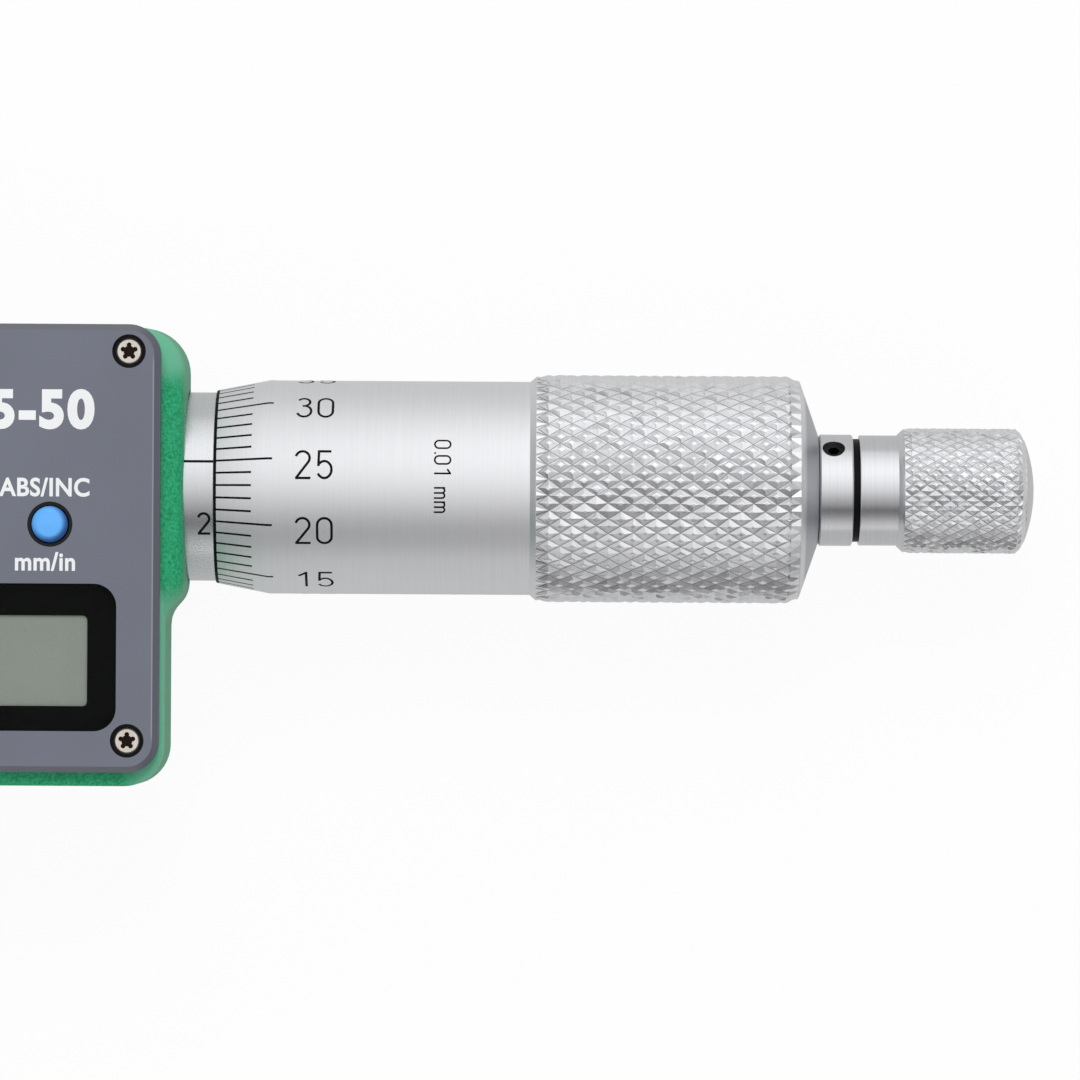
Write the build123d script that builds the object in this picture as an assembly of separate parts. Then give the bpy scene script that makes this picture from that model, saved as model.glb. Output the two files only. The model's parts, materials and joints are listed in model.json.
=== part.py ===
from build123d import *
from math import cos, pi, radians, sin, sqrt
import os

# X runs along the spindle from the anvil's measuring face (X = 0) toward the ratchet,
# Y runs up the panel and Z comes out of it. All sizes are in mm.

# fits
slack = 0.05                # radial running clearance
loose = 0.1                 # clearance of caps, buttons and covers
ease = 0.4                  # room round the boards and glass in their pockets

# measuring line
gap = 24.75                 # opening between the faces at rest
travel = 25.25              # how far the spindle opens from rest
spindle_r = 3.175
tip_length = 1.0
anvil_depth = 12.0          # how far the anvil reaches back from X = 0
thread_r = 4.0
thread_relief = 1.5         # taper from the ground rod up to the thread
thread_ream = 0.35          # how much wider the barrel is ahead of its nut
thread_spare = 1.77         # thread short of the nut's start when fully open
nut_length = 14.0
key_half = 0.45
key_depth = 0.7
key_length = 1.4
keyway_spare = 0.6          # keyway past the key at each end
keyway_round = 0.3

# U frame
throat_left = -4.0          # anvil side of the throat
throat_r = 29.75
throat_y = -4.0
throat_round = 2.0
arch_wall = 12.75           # thickness at the foot of the arch
arch_y = -2.0
arch_half = 6.0             # half the thickness of the rims
web_half = 4.2              # half the thickness of the web between them
rim = 2.6
rim_round = 0.9
arm_top = 6.5
arm_round = 5.0
nose_r = 6.5
nose_reach = 2.0            # how far nose and anvil boss stand into the throat
nose_round = 0.8
anvil_boss = 9.0            # length of the boss behind the anvil
seal_wall = 1.4
seal_length = 1.5

# housing, a casting with draft on both sides of its parting plane at Z = 0
neck_length = 7.35          # from the throat to the housing
housing_width = 44.53
housing_top = 13.3
housing_bottom = -25.2
housing_round = 3.4
front_z = 9.6
back_z = -10.5
front_draft = 1.0           # degrees
back_draft = 3.0
edge_round = 0.4
back_round = 1.0
boss_step = 1.52            # how far the boss stands past the housing's right side
boss_low_y = -9.1
boss_blend = 1.6            # height of the step's slope
boss_blend_r = 2.5
boss_round = 3.9
boss_edge = 2.0
boss_root = 6.0             # how far the boss reaches back into the housing
sink = 0.3                  # countersink round the sleeve

# cover and what sits in it
cover_margin = 0.46         # housing's side to the cover's side
cover_over = 0.05           # cover's top edge past the housing's
cover_ledge = 1.35          # housing's ledge below the cover
cover_round = 2.6
cover_thick = 1.8
cover_bevel = 0.5
screw_side = 2.6            # screw to the cover's side
screw_top = 2.25
screw_foot = 2.65
head_r = 1.075
head_thick = 0.95
head_bevel = 0.12
head_sunk = 0.15
head_well_r = 1.4
shank_r = 0.6
shank_length = 4.0
star_r = 0.46
star_lobe_r = 0.2
star_depth = 0.6
star_lobes = 5
window_width = 36.56
window_height = 12.24
window_foot = 3.42          # cover's bottom edge to the window
window_round = 1.9
window_sunk = 0.05
pane_thick = 1.0
film_thick = 0.1
lcd_width = 31.64
lcd_height = 7.52
lcd_foot = 2.06             # window's bottom edge to the display
lcd_border = 0.43
lcd_round = 0.4
button_pitch = 12.73
button_rise = 4.91          # window's top edge to the buttons
button_r = 1.5
button_proud = 0.15
button_dome = 0.4
button_shoulder = 0.7       # share of the dome's radius and height at its bend
button_flange = 0.6
button_travel = 0.5
flange_r = 2.0
collar_wall = 0.275         # rubber collar round each button

# boards and seals under the cover
board_z = 6.85
board_thick = 0.6
dome_height = 0.35
dome_rim = 0.12
dome_r = 1.6
dome_top_r = 0.7
keypad_thick = 0.4
keypad_half = 3.6
keys_half = 15.1            # half the width of the pocket under the buttons
keys_high_y = 8.2
well_half = 16.9            # half the width of the pocket under the display
well_low_z = -1.2
bore_wall = 0.7             # left between the pockets and the barrel's bore
pocket_round = 1.0
gasket_inset = 3.3
gasket_width = 0.8
gasket_thick = 0.4
gasket_round = 2.5

# battery
cell_r = 5.8
cell_thick = 5.4
cell_rise = 10.0            # its axis above the housing's bottom edge
can_step = 1.2              # the can's wall round the smaller pole
pole_thick = 0.4
can_round = 0.5
cap_sunk = 0.2
cap_flange = 0.7
cap_plug = 1.3
cap_flange_wall = 2.2       # flange beyond the cell
cap_plug_wall = 1.1
seal_thick = 0.35
coin_half = 5.5
coin_width = 1.4
coin_depth = 0.65
contact_r = 0.6
contact_foot_r = 1.3
contact_foot = 0.4

# encoder
chamber_length = 13.0
chamber_r = 5.9
barrel_seat = 7.9           # depth of the barrel's seat in the boss
bush_r = 4.2
bush_gap = 0.5
washer_thick = 0.45
washer_r = 5.2
key_from = 2.0              # stations in the chamber, from its left end
stator_from = 4.1
stator_thick = 0.7
encoder_gap = 0.3
disc_thick = 0.8
ribbon_half = 2.0
ribbon_low_z = 4.7
ribbon_thick = 0.2
ribbon_room = 0.5           # width of its slot

# sleeve and barrel
edge_gap = 2.28             # boss face to the thimble's edge at rest
sleeve_r = 7.95
sleeve_seat = 4.3
barrel_r = 6.9
sleeve_cover = 12.07        # sleeve still under the thimble when fully open
barrel_past = 5.5           # barrel past the end of the sleeve
nut_ring_length = 5.0
nut_ring_wall = 0.8
nut_slot = 1.2
nut_slot_depth = 0.4        # into the barrel, for the wrench

# thimble
thimble_edge_r = 8.24
thimble_r = 9.0
cone_length = 5.2
grip_from = 26.4            # plain length ahead of the grip
grip_length = 22.2
grip_lead = 0.45            # bevel ahead of the diamonds
grip_r = 9.55
grip_depth = 0.45
grip_around = 46
grip_rows = 22
grip_core = 0.1             # core below the bottom of the grooves
grip_band = 0.38            # smooth band behind the diamonds
grip_ease = 0.12            # band and bevel below the crests
grip_round = 0.4
tail_cone = 1.72
tail_r = 4.8
tail_seat_r = 3.2
fit_length = 3.0            # close fit on the sleeve at the thimble's edge
cavity_ease = 0.35
cavity_spare = 2.18         # room behind the barrel at rest

# ratchet, from the thimble's tail
collar_r = 4.7
collar_gap = 0.08
collar_length = 2.82
collar_bevel = 0.12
set_screw_from = 1.17       # its axis behind the collar's front face
set_screw_r = 0.94
set_screw_turn = 48.5       # degrees from the front toward +Y
set_screw_length = 2.35
socket_r = 0.5
socket_share = 0.4          # how far the socket reaches into the screw
screw_fit = 0.01            # between the set screw and its hole
stud_r = 2.0
stud_length = 2.4           # past the collar
bush_flange_r = 4.35
bush_flange = 0.5
bush_length = 7.4
bush_bore_r = 1.6
knob_bore_r = 3.65
knob_gap = 0.05
ring_from = 4.9             # snap ring behind the collar
ring_thick = 0.5
ring_r = 3.95
ring_seat_r = 3.2
ring_ease = 0.15
ring_room = 0.35            # round the snap ring in the knob
ring_slot_half = 0.6
spring_gap = 0.3
spring_pitch = 0.8
spring_height = 2.0
spring_r = 2.5
wire_r = 0.24
clutch_from = 10.05
clutch_thick = 1.15
clutch_r = 3.3
clutch_pin_r = 1.55
clutch_room = 0.6
clutch_pin_gap = 0.6        # pin's end to the stud
knob_neck_r = 4.65
knob_neck = 3.26
knob_r = 5.28
knob_bevel = 0.49
knob_ease = 0.1             # bevel's rim below the crests
knob_length = 9.48          # knurled length
knob_depth = 0.33
knob_around = 38
knob_rows = 15
knob_taper = 0.77           # knurled rounding at the end
knob_taper_drop = 1.02
knob_mid = 0.6              # where along the rounding a row of points sits
knob_mid_drop = 0.34
knob_dome = 0.8             # how far the end swells past the knurl

# lock lever
lock_from = 5.1             # its axis behind the nose
lock_gap = 0.1
lock_hub_r = 3.0
lock_hub = 2.1
lock_arm = 1.5
lock_arm_r = 2.3
lock_tip_r = 1.9
lock_length = 11.0
lock_screw_r = 1.3
lock_shank_r = 1.45
lock_slot_half = 0.2
lock_slot_depth = 0.5

# places that follow
throat_x = throat_left + throat_r
throat_right = throat_left + 2 * throat_r
arch_r = throat_r + arch_wall
nose_x = throat_right - nose_reach
lock_x = nose_x + lock_from
housing_left = throat_right + neck_length
housing_right = housing_left + housing_width
boss_x = housing_right + boss_step
cover_left = housing_left + cover_margin
cover_right = housing_right - cover_margin
cover_top = housing_top + cover_over
cover_bottom = housing_bottom + cover_ledge
cover_mid = (cover_left + cover_right) / 2
cover_z = front_z + cover_thick
window_low_y = cover_bottom + window_foot
window_high_y = window_low_y + window_height
pane_z = cover_z - window_sunk - pane_thick
lcd_low_y = window_low_y + lcd_foot
lcd_high_y = lcd_low_y + lcd_height
button_y = window_high_y + button_rise
board_top = board_z + board_thick
well_high_y = -barrel_r - bore_wall
well_low_y = lcd_low_y - lcd_border - ease
cell_x = cover_mid
cell_y = housing_bottom + cell_rise
cell_z = back_z + cap_sunk + cap_flange + cap_plug + loose
chamber_end = boss_x - barrel_seat
chamber_start = chamber_end - chamber_length
key_x = chamber_start + key_from
stator_x = chamber_start + stator_from
edge_x = boss_x + edge_gap
sleeve_end = edge_x + travel + sleeve_cover
barrel_end = sleeve_end + barrel_past
nut_start = barrel_end - nut_length
thread_start = nut_start - travel - thread_spare
cavity_end = barrel_end + cavity_spare
grip_start = edge_x + grip_from
grip_face = grip_start + grip_lead
grip_end = grip_start + grip_length
band_end = grip_end + grip_band
tail_x = band_end + tail_cone
collar_x = tail_x + collar_gap
collar_end = collar_x + collar_length
knob_x = collar_end + bush_flange + knob_gap
knob_shoulder = knob_x + knob_neck
knurl_start = knob_shoulder + knob_bevel
knurl_end = knurl_start + knob_length
bore_end = collar_end + clutch_from + clutch_thick + clutch_room


def disc(radius, start, end):
    return extrude(Plane.YZ.offset(start) * Circle(radius), end - start)


def tube(outer, inner, start, end):
    return extrude(Plane.YZ.offset(start) * (Circle(outer) - Circle(inner)), end - start)


def post(x, y, radius, low, high):
    return extrude(Plane.XY.offset(low) * Pos(x, y) * Circle(radius), high - low)


def slab(left, right, low_y, high_y, low, high, corner=0):
    size = (right - left, high_y - low_y)
    shape = RectangleRounded(*size, corner) if corner else Rectangle(*size)
    place = Pos((left + right) / 2, (low_y + high_y) / 2)
    return extrude(Plane.XY.offset(low) * place * shape, high - low)


def outline(corners):
    """Polygon with a radius at each corner, as (x, y, radius)."""
    sheet = make_face(Polyline(*[(x, y) for x, y, r in corners], close=True))
    for x, y, r in corners:
        if r:
            near = sheet.vertices().sort_by_distance(Vector(x, y))[0]
            sheet = fillet(near, r)
    return sheet


def turned(corners):
    """Solid of revolution about X from (station, radius, rounding)."""
    return revolve(outline(corners), Axis.X)


def knurled(stations, crests, depths, around):
    """Ring of diamond points, one row of points at each station."""
    step = 2 * pi / around

    def at(row, radius, angle):
        return Vector(stations[row], radius * cos(angle), radius * sin(angle))

    last = len(stations) - 1
    facets = []
    ends = {0: [], last: []}
    for row in range(last + 1):
        valley = crests[row] - depths[row]
        for i in range(around):
            angle = (i + 0.5 * ((row + 1) % 2)) * step
            point = at(row, crests[row], angle)
            above = at(row, valley, angle + step / 2)
            below = at(row, valley, angle - step / 2)
            if row > 0:
                before = at(row - 1, crests[row - 1] - depths[row - 1], angle)
                facets += [(before, point, above), (before, below, point)]
            if row < last:
                after = at(row + 1, crests[row + 1] - depths[row + 1], angle)
                facets += [(above, point, after), (below, after, point)]
            if row in ends:
                ends[row] += [below, point]
    faces = [Face(Wire.make_polygon(f, close=True)) for f in facets + list(ends.values())]
    return Solid(Shell(faces))


def screw_spots():
    sides = (cover_left + screw_side, cover_right - screw_side)
    return [(x, y) for x in sides for y in (cover_top - screw_top, cover_bottom + screw_foot)]


def button_spots():
    return [(cover_mid + i * button_pitch, button_y) for i in (-1, 0, 1)]


def u_shape():
    side = 2 * arch_r
    throat = Pos(throat_x, throat_y) * Circle(throat_r)
    throat += Pos(throat_x, throat_y + throat_r) * Rectangle(2 * throat_r, 2 * throat_r)
    keep = Pos(throat_x, arm_top - side / 2) * Rectangle(side, side)
    sheet = ((Pos(throat_x, arch_y) * Circle(arch_r)) & keep) - throat
    outer = throat_x - sqrt(arch_r ** 2 - (arm_top - arch_y) ** 2)
    for x, r in ((outer, arm_round), (throat_left, throat_round), (throat_right, throat_round)):
        sheet = fillet(sheet.vertices().sort_by_distance(Vector(x, arm_top))[0], r)
    body = extrude(sheet, arch_half, both=True)
    rims = [e for e in body.edges() if abs(abs(e.center().Z) - arch_half) < 0.01]
    body = fillet(rims, rim_round)
    web = Pos(throat_x, arch_y) * Circle(arch_r - rim)
    web -= Pos(throat_x, throat_y) * Circle(throat_r + rim)
    web &= Pos(throat_x, -nose_r - rim - side / 2) * Rectangle(side, side)
    web &= Pos(housing_left - rim - arch_r, 0) * Rectangle(side, side)
    for low, high in ((web_half, arch_half), (-arch_half, -web_half)):
        body -= extrude(Plane.XY.offset(low) * web, high - low)
    return body


def casting(corners):
    """Drafted block from the parting plane at Z = 0 to the front and the back."""
    sheet = outline(corners)
    block = extrude(sheet, front_z, taper=front_draft)
    return block + extrude(sheet, back_z, taper=back_draft)


def rims_at(block, level):
    return [e for e in block.edges() if abs(e.center().Z - level) < 0.01]


def housing():
    main = casting([
        (housing_left, housing_bottom, housing_round),
        (housing_right, housing_bottom, housing_round),
        (housing_right, housing_top - boss_round, 0),
        (housing_right - boss_round, housing_top, 0),
        (housing_left, housing_top, housing_round)])
    main = fillet(rims_at(main, front_z), edge_round)
    root = housing_right - boss_root
    blend_y = boss_low_y - boss_blend
    boss = casting([
        (root, blend_y - 2 * boss_blend, 0),
        (housing_right, blend_y - 2 * boss_blend, 0),
        (housing_right, blend_y, boss_blend_r),
        (boss_x, boss_low_y, boss_blend_r),
        (boss_x, housing_top, boss_round),
        (root, housing_top, 0)])
    inner = root + boss_edge / 2
    boss = fillet([e for e in rims_at(boss, front_z) if e.center().X > inner], boss_edge)
    body = main + boss
    return fillet(rims_at(body, back_z), back_round)


def gasket_box(inset):
    return (cover_left + inset, cover_right - inset, cover_bottom + inset, cover_top - inset)


def gasket_ring(widen):
    inset = gasket_inset - widen
    width = gasket_width + 2 * widen
    low = front_z - gasket_thick
    ring = slab(*gasket_box(inset), low, front_z, gasket_round + widen)
    return ring - slab(*gasket_box(inset + width), low, front_z, gasket_round + widen - width)


def frame():
    body = u_shape() + housing()
    anvil_back = throat_left - anvil_boss
    body += turned([(anvil_back, 0, 0), (anvil_back, nose_r, nose_round),
                    (throat_left + 1, nose_r, nose_round), (throat_left + 1, 0, 0)])
    body += turned([(nose_x, 0, 0), (nose_x, nose_r, nose_round),
                    (housing_left + 1, nose_r, 0), (housing_left + 1, 0, 0)])
    # measuring line
    sleeve_x = boss_x - sleeve_seat
    body -= disc(spindle_r, -anvil_depth, throat_left + 1)
    body -= disc(spindle_r + slack, nose_x, chamber_start)
    body -= disc(spindle_r + seal_wall, nose_x, nose_x + seal_length)
    body -= disc(chamber_r, chamber_start, chamber_end)
    body -= disc(barrel_r, chamber_end, sleeve_x)
    body -= disc(sleeve_r, sleeve_x, boss_x)
    body -= turned([(boss_x - 2 * sink, 0, 0), (boss_x - 2 * sink, sleeve_r, 0),
                    (boss_x + slack, sleeve_r + sink + slack, 0), (boss_x + slack, 0, 0)])
    body -= post(lock_x, 0, lock_shank_r + slack, 0, nose_r + lock_gap)
    # pockets under the cover
    keys_right = cover_mid + keys_half
    body -= slab(cover_mid - keys_half, keys_right, window_high_y, keys_high_y,
                 board_z, front_z, pocket_round)
    body -= slab(cover_mid - well_half, cover_mid + well_half, well_low_y, well_high_y,
                 well_low_z, front_z, pocket_round)
    wide = ribbon_half + loose
    body -= slab(stator_x - ribbon_room, stator_x, -wide, wide, ribbon_low_z - loose, board_z)
    body -= gasket_ring(slack)
    for x, y in screw_spots():
        body -= post(x, y, shank_r, front_z - shank_length - loose, front_z)
    # battery well, open at the back
    plug_z = back_z + cap_sunk + cap_flange + cap_plug
    body -= post(cell_x, cell_y, cell_r + 1.5 * loose, back_z, cell_z + cell_thick + 2 * loose)
    body -= post(cell_x, cell_y, cell_r + cap_plug_wall + loose, back_z, plug_z + slack)
    body -= post(cell_x, cell_y, cell_r + cap_flange_wall + loose, back_z,
                 back_z + cap_sunk + cap_flange + seal_thick + slack)
    body -= post(cell_x, cell_y, contact_foot_r + 2 * loose, back_z, well_low_z)
    return body


def cover_gasket():
    return gasket_ring(0)


def front_cover():
    body = slab(cover_left, cover_right, cover_bottom, cover_top, front_z, cover_z, cover_round)
    body = chamfer(body.faces().sort_by(Axis.Z)[-1].edges(), cover_bevel)
    half = window_width / 2
    body -= slab(cover_mid - half, cover_mid + half, window_low_y, window_high_y,
                 pane_z - film_thick, cover_z, window_round)
    reach = lcd_width / 2 + lcd_border + loose
    rise = lcd_border + loose
    body -= slab(cover_mid - reach, cover_mid + reach, lcd_low_y - rise, lcd_high_y + rise,
                 front_z, cover_z)
    for x, y in button_spots():
        body -= post(x, y, button_r + loose + collar_wall, front_z, cover_z)
    for x, y in screw_spots():
        body -= post(x, y, shank_r, front_z, cover_z)
        body -= post(x, y, head_well_r, cover_z - head_sunk - head_thick, cover_z)
    return body


def cover_screws():
    star = Circle(star_r)
    for i in range(star_lobes):
        lobe = Pos(0, star_r + star_lobe_r / 3) * Circle(star_lobe_r)
        star += Rot(0, 0, 360 / star_lobes * i) * lobe
    top = cover_z - head_sunk
    group = []
    for x, y in screw_spots():
        one = post(x, y, head_r, top - head_thick, top)
        one = chamfer(one.edges().sort_by(Axis.Z)[-1], head_bevel)
        one += post(x, y, shank_r, front_z - shank_length, top - head_thick)
        one -= extrude(Plane.XY.offset(top - star_depth) * Pos(x, y) * star, star_depth)
        group.append(one)
    return Compound(children=[one.solids()[0] for one in group])


def display_window():
    half = window_width / 2
    return slab(cover_mid - half, cover_mid + half, window_low_y, window_high_y,
                pane_z, pane_z + pane_thick, window_round)


def display_mask():
    low = pane_z - film_thick
    half = window_width / 2
    film = slab(cover_mid - half, cover_mid + half, window_low_y, window_high_y,
                low, pane_z, window_round)
    half = lcd_width / 2
    return film - slab(cover_mid - half, cover_mid + half, lcd_low_y, lcd_high_y,
                       low, pane_z, lcd_round)


def lcd_module():
    half = lcd_width / 2 + lcd_border
    return slab(cover_mid - half, cover_mid + half, lcd_low_y - lcd_border,
                lcd_high_y + lcd_border, board_top, pane_z - film_thick - loose)


def circuit_board():
    half = well_half - ease
    board = slab(cover_mid - half, cover_mid + half, well_low_y + loose, well_high_y - loose,
                 board_z, board_top)
    half = keys_half - ease
    return board + slab(cover_mid - half, cover_mid + half, well_high_y - loose,
                        keys_high_y - ease, board_z, board_top)


def key_domes():
    dome = turned([(0, 0, 0), (0, dome_r, 0), (dome_rim, dome_r, 0),
                   (dome_height, dome_top_r, 0), (dome_height, 0, 0)])
    return Compound(children=[(Pos(x, y, board_top) * Rot(0, -90, 0) * dome).solids()[0]
                              for x, y in button_spots()])


def keypad_seal():
    half = keys_half - ease / 2
    sheet = slab(cover_mid - half, cover_mid + half, button_y - keypad_half,
                 button_y + keypad_half, front_z - keypad_thick, front_z, pocket_round)
    hole = button_r + loose
    for x, y in button_spots():
        sheet += post(x, y, hole + collar_wall, front_z, cover_z - loose)
        sheet -= post(x, y, hole, front_z - keypad_thick, cover_z)
    return sheet


def button(spot):
    low = board_top + dome_height + button_travel + loose
    rise = cover_z + button_proud - low
    body = turned([(0, 0, 0), (0, flange_r, 0), (button_flange, flange_r, 0),
                   (button_flange, button_r, 0), (rise, button_r, 0),
                   (rise + button_shoulder * button_dome, button_shoulder * button_r, 0),
                   (rise + button_dome, 0, 0)])
    return Pos(*spot, low) * Rot(0, -90, 0) * body


def battery():
    body = post(cell_x, cell_y, cell_r, cell_z, cell_z + cell_thick - pole_thick)
    body = fillet(body.edges().sort_by(Axis.Z)[0], can_round)
    return body + post(cell_x, cell_y, cell_r - can_step, cell_z + cell_thick - pole_thick,
                       cell_z + cell_thick)


def battery_contact():
    pin = post(cell_x, cell_y, contact_r, cell_z + cell_thick, board_z)
    return pin + post(cell_x, cell_y, contact_foot_r, well_low_z, well_low_z + contact_foot)


def battery_cap():
    face = back_z + cap_sunk
    body = post(cell_x, cell_y, cell_r + cap_flange_wall, face, face + cap_flange)
    body += post(cell_x, cell_y, cell_r + cap_plug_wall, face, face + cap_flange + cap_plug)
    half = coin_width / 2
    return body - slab(cell_x - coin_half, cell_x + coin_half, cell_y - half, cell_y + half,
                       face, face + coin_depth, half - 0.01)


def battery_seal():
    low = back_z + cap_sunk + cap_flange
    ring = post(cell_x, cell_y, cell_r + cap_flange_wall - loose, low, low + seal_thick)
    return ring - post(cell_x, cell_y, cell_r + cap_plug_wall, low, low + seal_thick)


def anvil():
    return disc(spindle_r, -anvil_depth, -tip_length)


def anvil_tip():
    return disc(spindle_r, -tip_length, 0)


def spindle_seal():
    return tube(spindle_r + seal_wall, spindle_r + slack, nose_x, nose_x + seal_length)


def encoder_stator():
    return tube(chamber_r, bush_r + encoder_gap, stator_x, stator_x + stator_thick)


def encoder_ribbon():
    return slab(stator_x - ribbon_thick, stator_x, -ribbon_half, ribbon_half, ribbon_low_z, board_z)


def thrust_washer():
    return tube(washer_r, spindle_r + ease, chamber_end - washer_thick, chamber_end)


def rotor_key():
    return slab(key_x, key_x + key_length, -key_half, key_half, spindle_r - key_depth,
                bush_r - loose)


def rotor_bush():
    body = tube(bush_r, spindle_r + slack, chamber_start + bush_gap,
                chamber_end - washer_thick - loose)
    return body - rotor_key()


def rotor_disc():
    start = stator_x + stator_thick + encoder_gap
    return tube(chamber_r - ease, bush_r, start, start + disc_thick)


def inner_barrel():
    ream = thread_r + thread_ream
    nut = thread_r + slack
    return turned([(chamber_end, ream, 0), (chamber_end, barrel_r, 0), (barrel_end, barrel_r, 0),
                   (barrel_end, nut, 0), (nut_start, nut, 0), (nut_start - ream + nut, ream, 0)])


def outer_sleeve():
    return tube(sleeve_r, barrel_r, boss_x - sleeve_seat, sleeve_end)


def adjusting_nut():
    outer = barrel_r + nut_ring_wall
    ring = tube(outer, barrel_r, barrel_end - nut_ring_length, barrel_end)
    for turn in (0, 90, 180, 270):
        ring -= Rot(turn, 0, 0) * slab(barrel_end - nut_slot, barrel_end, -nut_slot / 2,
                                       nut_slot / 2, barrel_r - nut_slot_depth, outer + 1)
    return ring


def spindle():
    """Ground rod, with the keyway that the rotor's key slides in."""
    rod = disc(spindle_r, gap + tip_length, thread_start - thread_relief)
    half = key_half + slack
    return rod - slab(key_x - travel - keyway_spare, key_x + key_length + keyway_spare,
                      -half, half, spindle_r - key_depth - loose, spindle_r + 1, keyway_round)


def spindle_thread():
    tail = cavity_end - loose
    relief = thread_start - thread_relief
    stud_end = collar_end + stud_length
    return turned([(relief, 0, 0), (relief, spindle_r, 0), (thread_start, thread_r, 0),
                   (tail, thread_r, 0), (tail, tail_seat_r, 0), (tail_x, tail_seat_r, 0),
                   (tail_x, stud_r, 0), (stud_end, stud_r, 0), (stud_end, 0, 0)])


def spindle_tip():
    return disc(spindle_r, gap, gap + tip_length)


def thimble():
    core = grip_r - grip_depth - grip_core
    rim_r = grip_r - grip_ease
    body = turned([(edge_x, 0, 0), (edge_x, thimble_edge_r, 0),
                   (edge_x + cone_length, thimble_r, 0), (grip_start, thimble_r, 0),
                   (grip_face, rim_r, 0), (grip_face + slack, core, 0),
                   (grip_end - slack, core, 0), (grip_end, rim_r, 0),
                   (band_end, rim_r, grip_round), (tail_x, tail_r, 0), (tail_x, 0, 0)])
    length = (grip_end - grip_face) / grip_rows
    stations = [grip_face + i * length for i in range(grip_rows + 1)]
    crests = [grip_r] * (grip_rows + 1)
    depths = [grip_depth] * (grip_rows + 1)
    for end, shift in ((0, -slack), (-1, slack)):
        stations[end] += shift
        crests[end] = core
        depths[end] = grip_core
    body += knurled(stations, crests, depths, grip_around)
    body -= disc(sleeve_r + slack, edge_x, edge_x + fit_length)
    body -= disc(sleeve_r + cavity_ease, edge_x + fit_length, cavity_end)
    return body - disc(tail_seat_r, cavity_end, tail_x)


def set_screw_axis():
    turn = radians(set_screw_turn)
    return Plane((collar_x + set_screw_from, 0, 0), x_dir=(1, 0, 0),
                 z_dir=(0, sin(turn), cos(turn)))


def collar():
    body = tube(collar_r, stud_r, collar_x, collar_end)
    rims = [e for e in body.edges().filter_by(GeomType.CIRCLE) if e.radius > stud_r + 1]
    body = chamfer(rims, collar_bevel)
    return body - extrude(set_screw_axis() * Circle(set_screw_r + screw_fit), collar_r + 1)


def set_screw():
    foot = stud_r + 2 * screw_fit
    floor = foot + (1 - socket_share) * set_screw_length
    body = extrude(set_screw_axis().offset(foot) * Circle(set_screw_r), set_screw_length)
    socket = set_screw_axis().offset(floor) * RegularPolygon(socket_r, 6)
    return body - extrude(socket, set_screw_length)


def ratchet_bush():
    neck = collar_end + bush_flange
    end = collar_end + bush_length
    step = collar_end + stud_length + loose
    outer = knob_bore_r - slack
    body = turned([(collar_end, stud_r, 0), (collar_end, bush_flange_r, 0),
                   (neck, bush_flange_r, 0), (neck, outer, 0), (end, outer, 0),
                   (end, bush_bore_r, 0), (step, bush_bore_r, 0), (step, stud_r, 0)])
    start = collar_end + ring_from
    return body - tube(knob_bore_r, ring_seat_r, start, start + ring_thick)


def retaining_ring():
    start = collar_end + ring_from
    ring = tube(ring_r, ring_seat_r, start, start + ring_thick)
    return ring - slab(start, start + ring_thick, -ring_slot_half, ring_slot_half, 0, ring_r + 1)


def ratchet_spring():
    start = collar_end + bush_length + spring_gap
    path = Helix(pitch=spring_pitch, height=spring_height, radius=spring_r)
    wire = Plane(path @ 0, z_dir=path % 0) * Circle(wire_r)
    return Pos(start, 0, 0) * Rot(0, 90, 0) * sweep(wire, path, is_frenet=True)


def clutch_disc():
    start = collar_end + clutch_from
    body = disc(clutch_r, start, start + clutch_thick)
    return body + disc(clutch_pin_r, collar_end + stud_length + clutch_pin_gap, start)


def ratchet_knob():
    core = knob_r - knob_depth - knob_ease
    end_r = knob_r - knob_taper_drop
    end_x = knurl_end + knob_taper
    rim_r = knob_r - knob_ease
    # core with a domed end, its arc given by the dome's height
    half = end_r * sin(radians(45))
    swell = (end_r ** 2 + knob_dome ** 2) / (2 * knob_dome)
    bulge = sqrt(swell ** 2 - half ** 2) - swell + knob_dome
    side = Polyline((end_x, end_r), (end_x - knob_taper, core), (knurl_start + slack, core),
                    (knurl_start, rim_r), (knob_shoulder, knob_neck_r + loose),
                    (knob_shoulder, knob_neck_r), (knob_x, knob_neck_r), (knob_x, 0),
                    (end_x + knob_dome, 0))
    dome = ThreePointArc((end_x + knob_dome, 0), (end_x + bulge, half), (end_x, end_r))
    body = revolve(make_face([side, dome]), Axis.X)
    rows = [knurl_start + i * knob_length / knob_rows for i in range(knob_rows + 1)]
    crests = [knob_r] * (knob_rows + 1)
    depths = [knob_depth] * (knob_rows + 1)
    rows[0] -= slack
    crests[0] = core
    depths[0] = knob_ease
    rows += [knurl_end + knob_mid * knob_taper, end_x + slack]
    crests += [knob_r - knob_mid_drop, end_r - loose]
    depths += [knob_depth - slack, loose]
    body += knurled(rows, crests, depths, knob_around)
    body -= disc(knob_bore_r, knob_x, bore_end)
    start = collar_end + ring_from - ring_ease
    return body - disc(ring_r + ring_room, start, start + ring_thick + 2 * ring_ease)


def lock_lever():
    low = nose_r + lock_gap
    hub = post(lock_x, 0, lock_hub_r, low, low + lock_hub)
    arm = make_hull([*(Pos(lock_x, 0) * Circle(lock_arm_r)).edges(),
                     *(Pos(lock_x, lock_tip_r - lock_length) * Circle(lock_tip_r)).edges()])
    body = hub + extrude(Plane.XY.offset(low + (lock_hub - lock_arm) / 2) * arm, lock_arm)
    return body - post(lock_x, 0, lock_screw_r, low, low + lock_hub)


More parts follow.
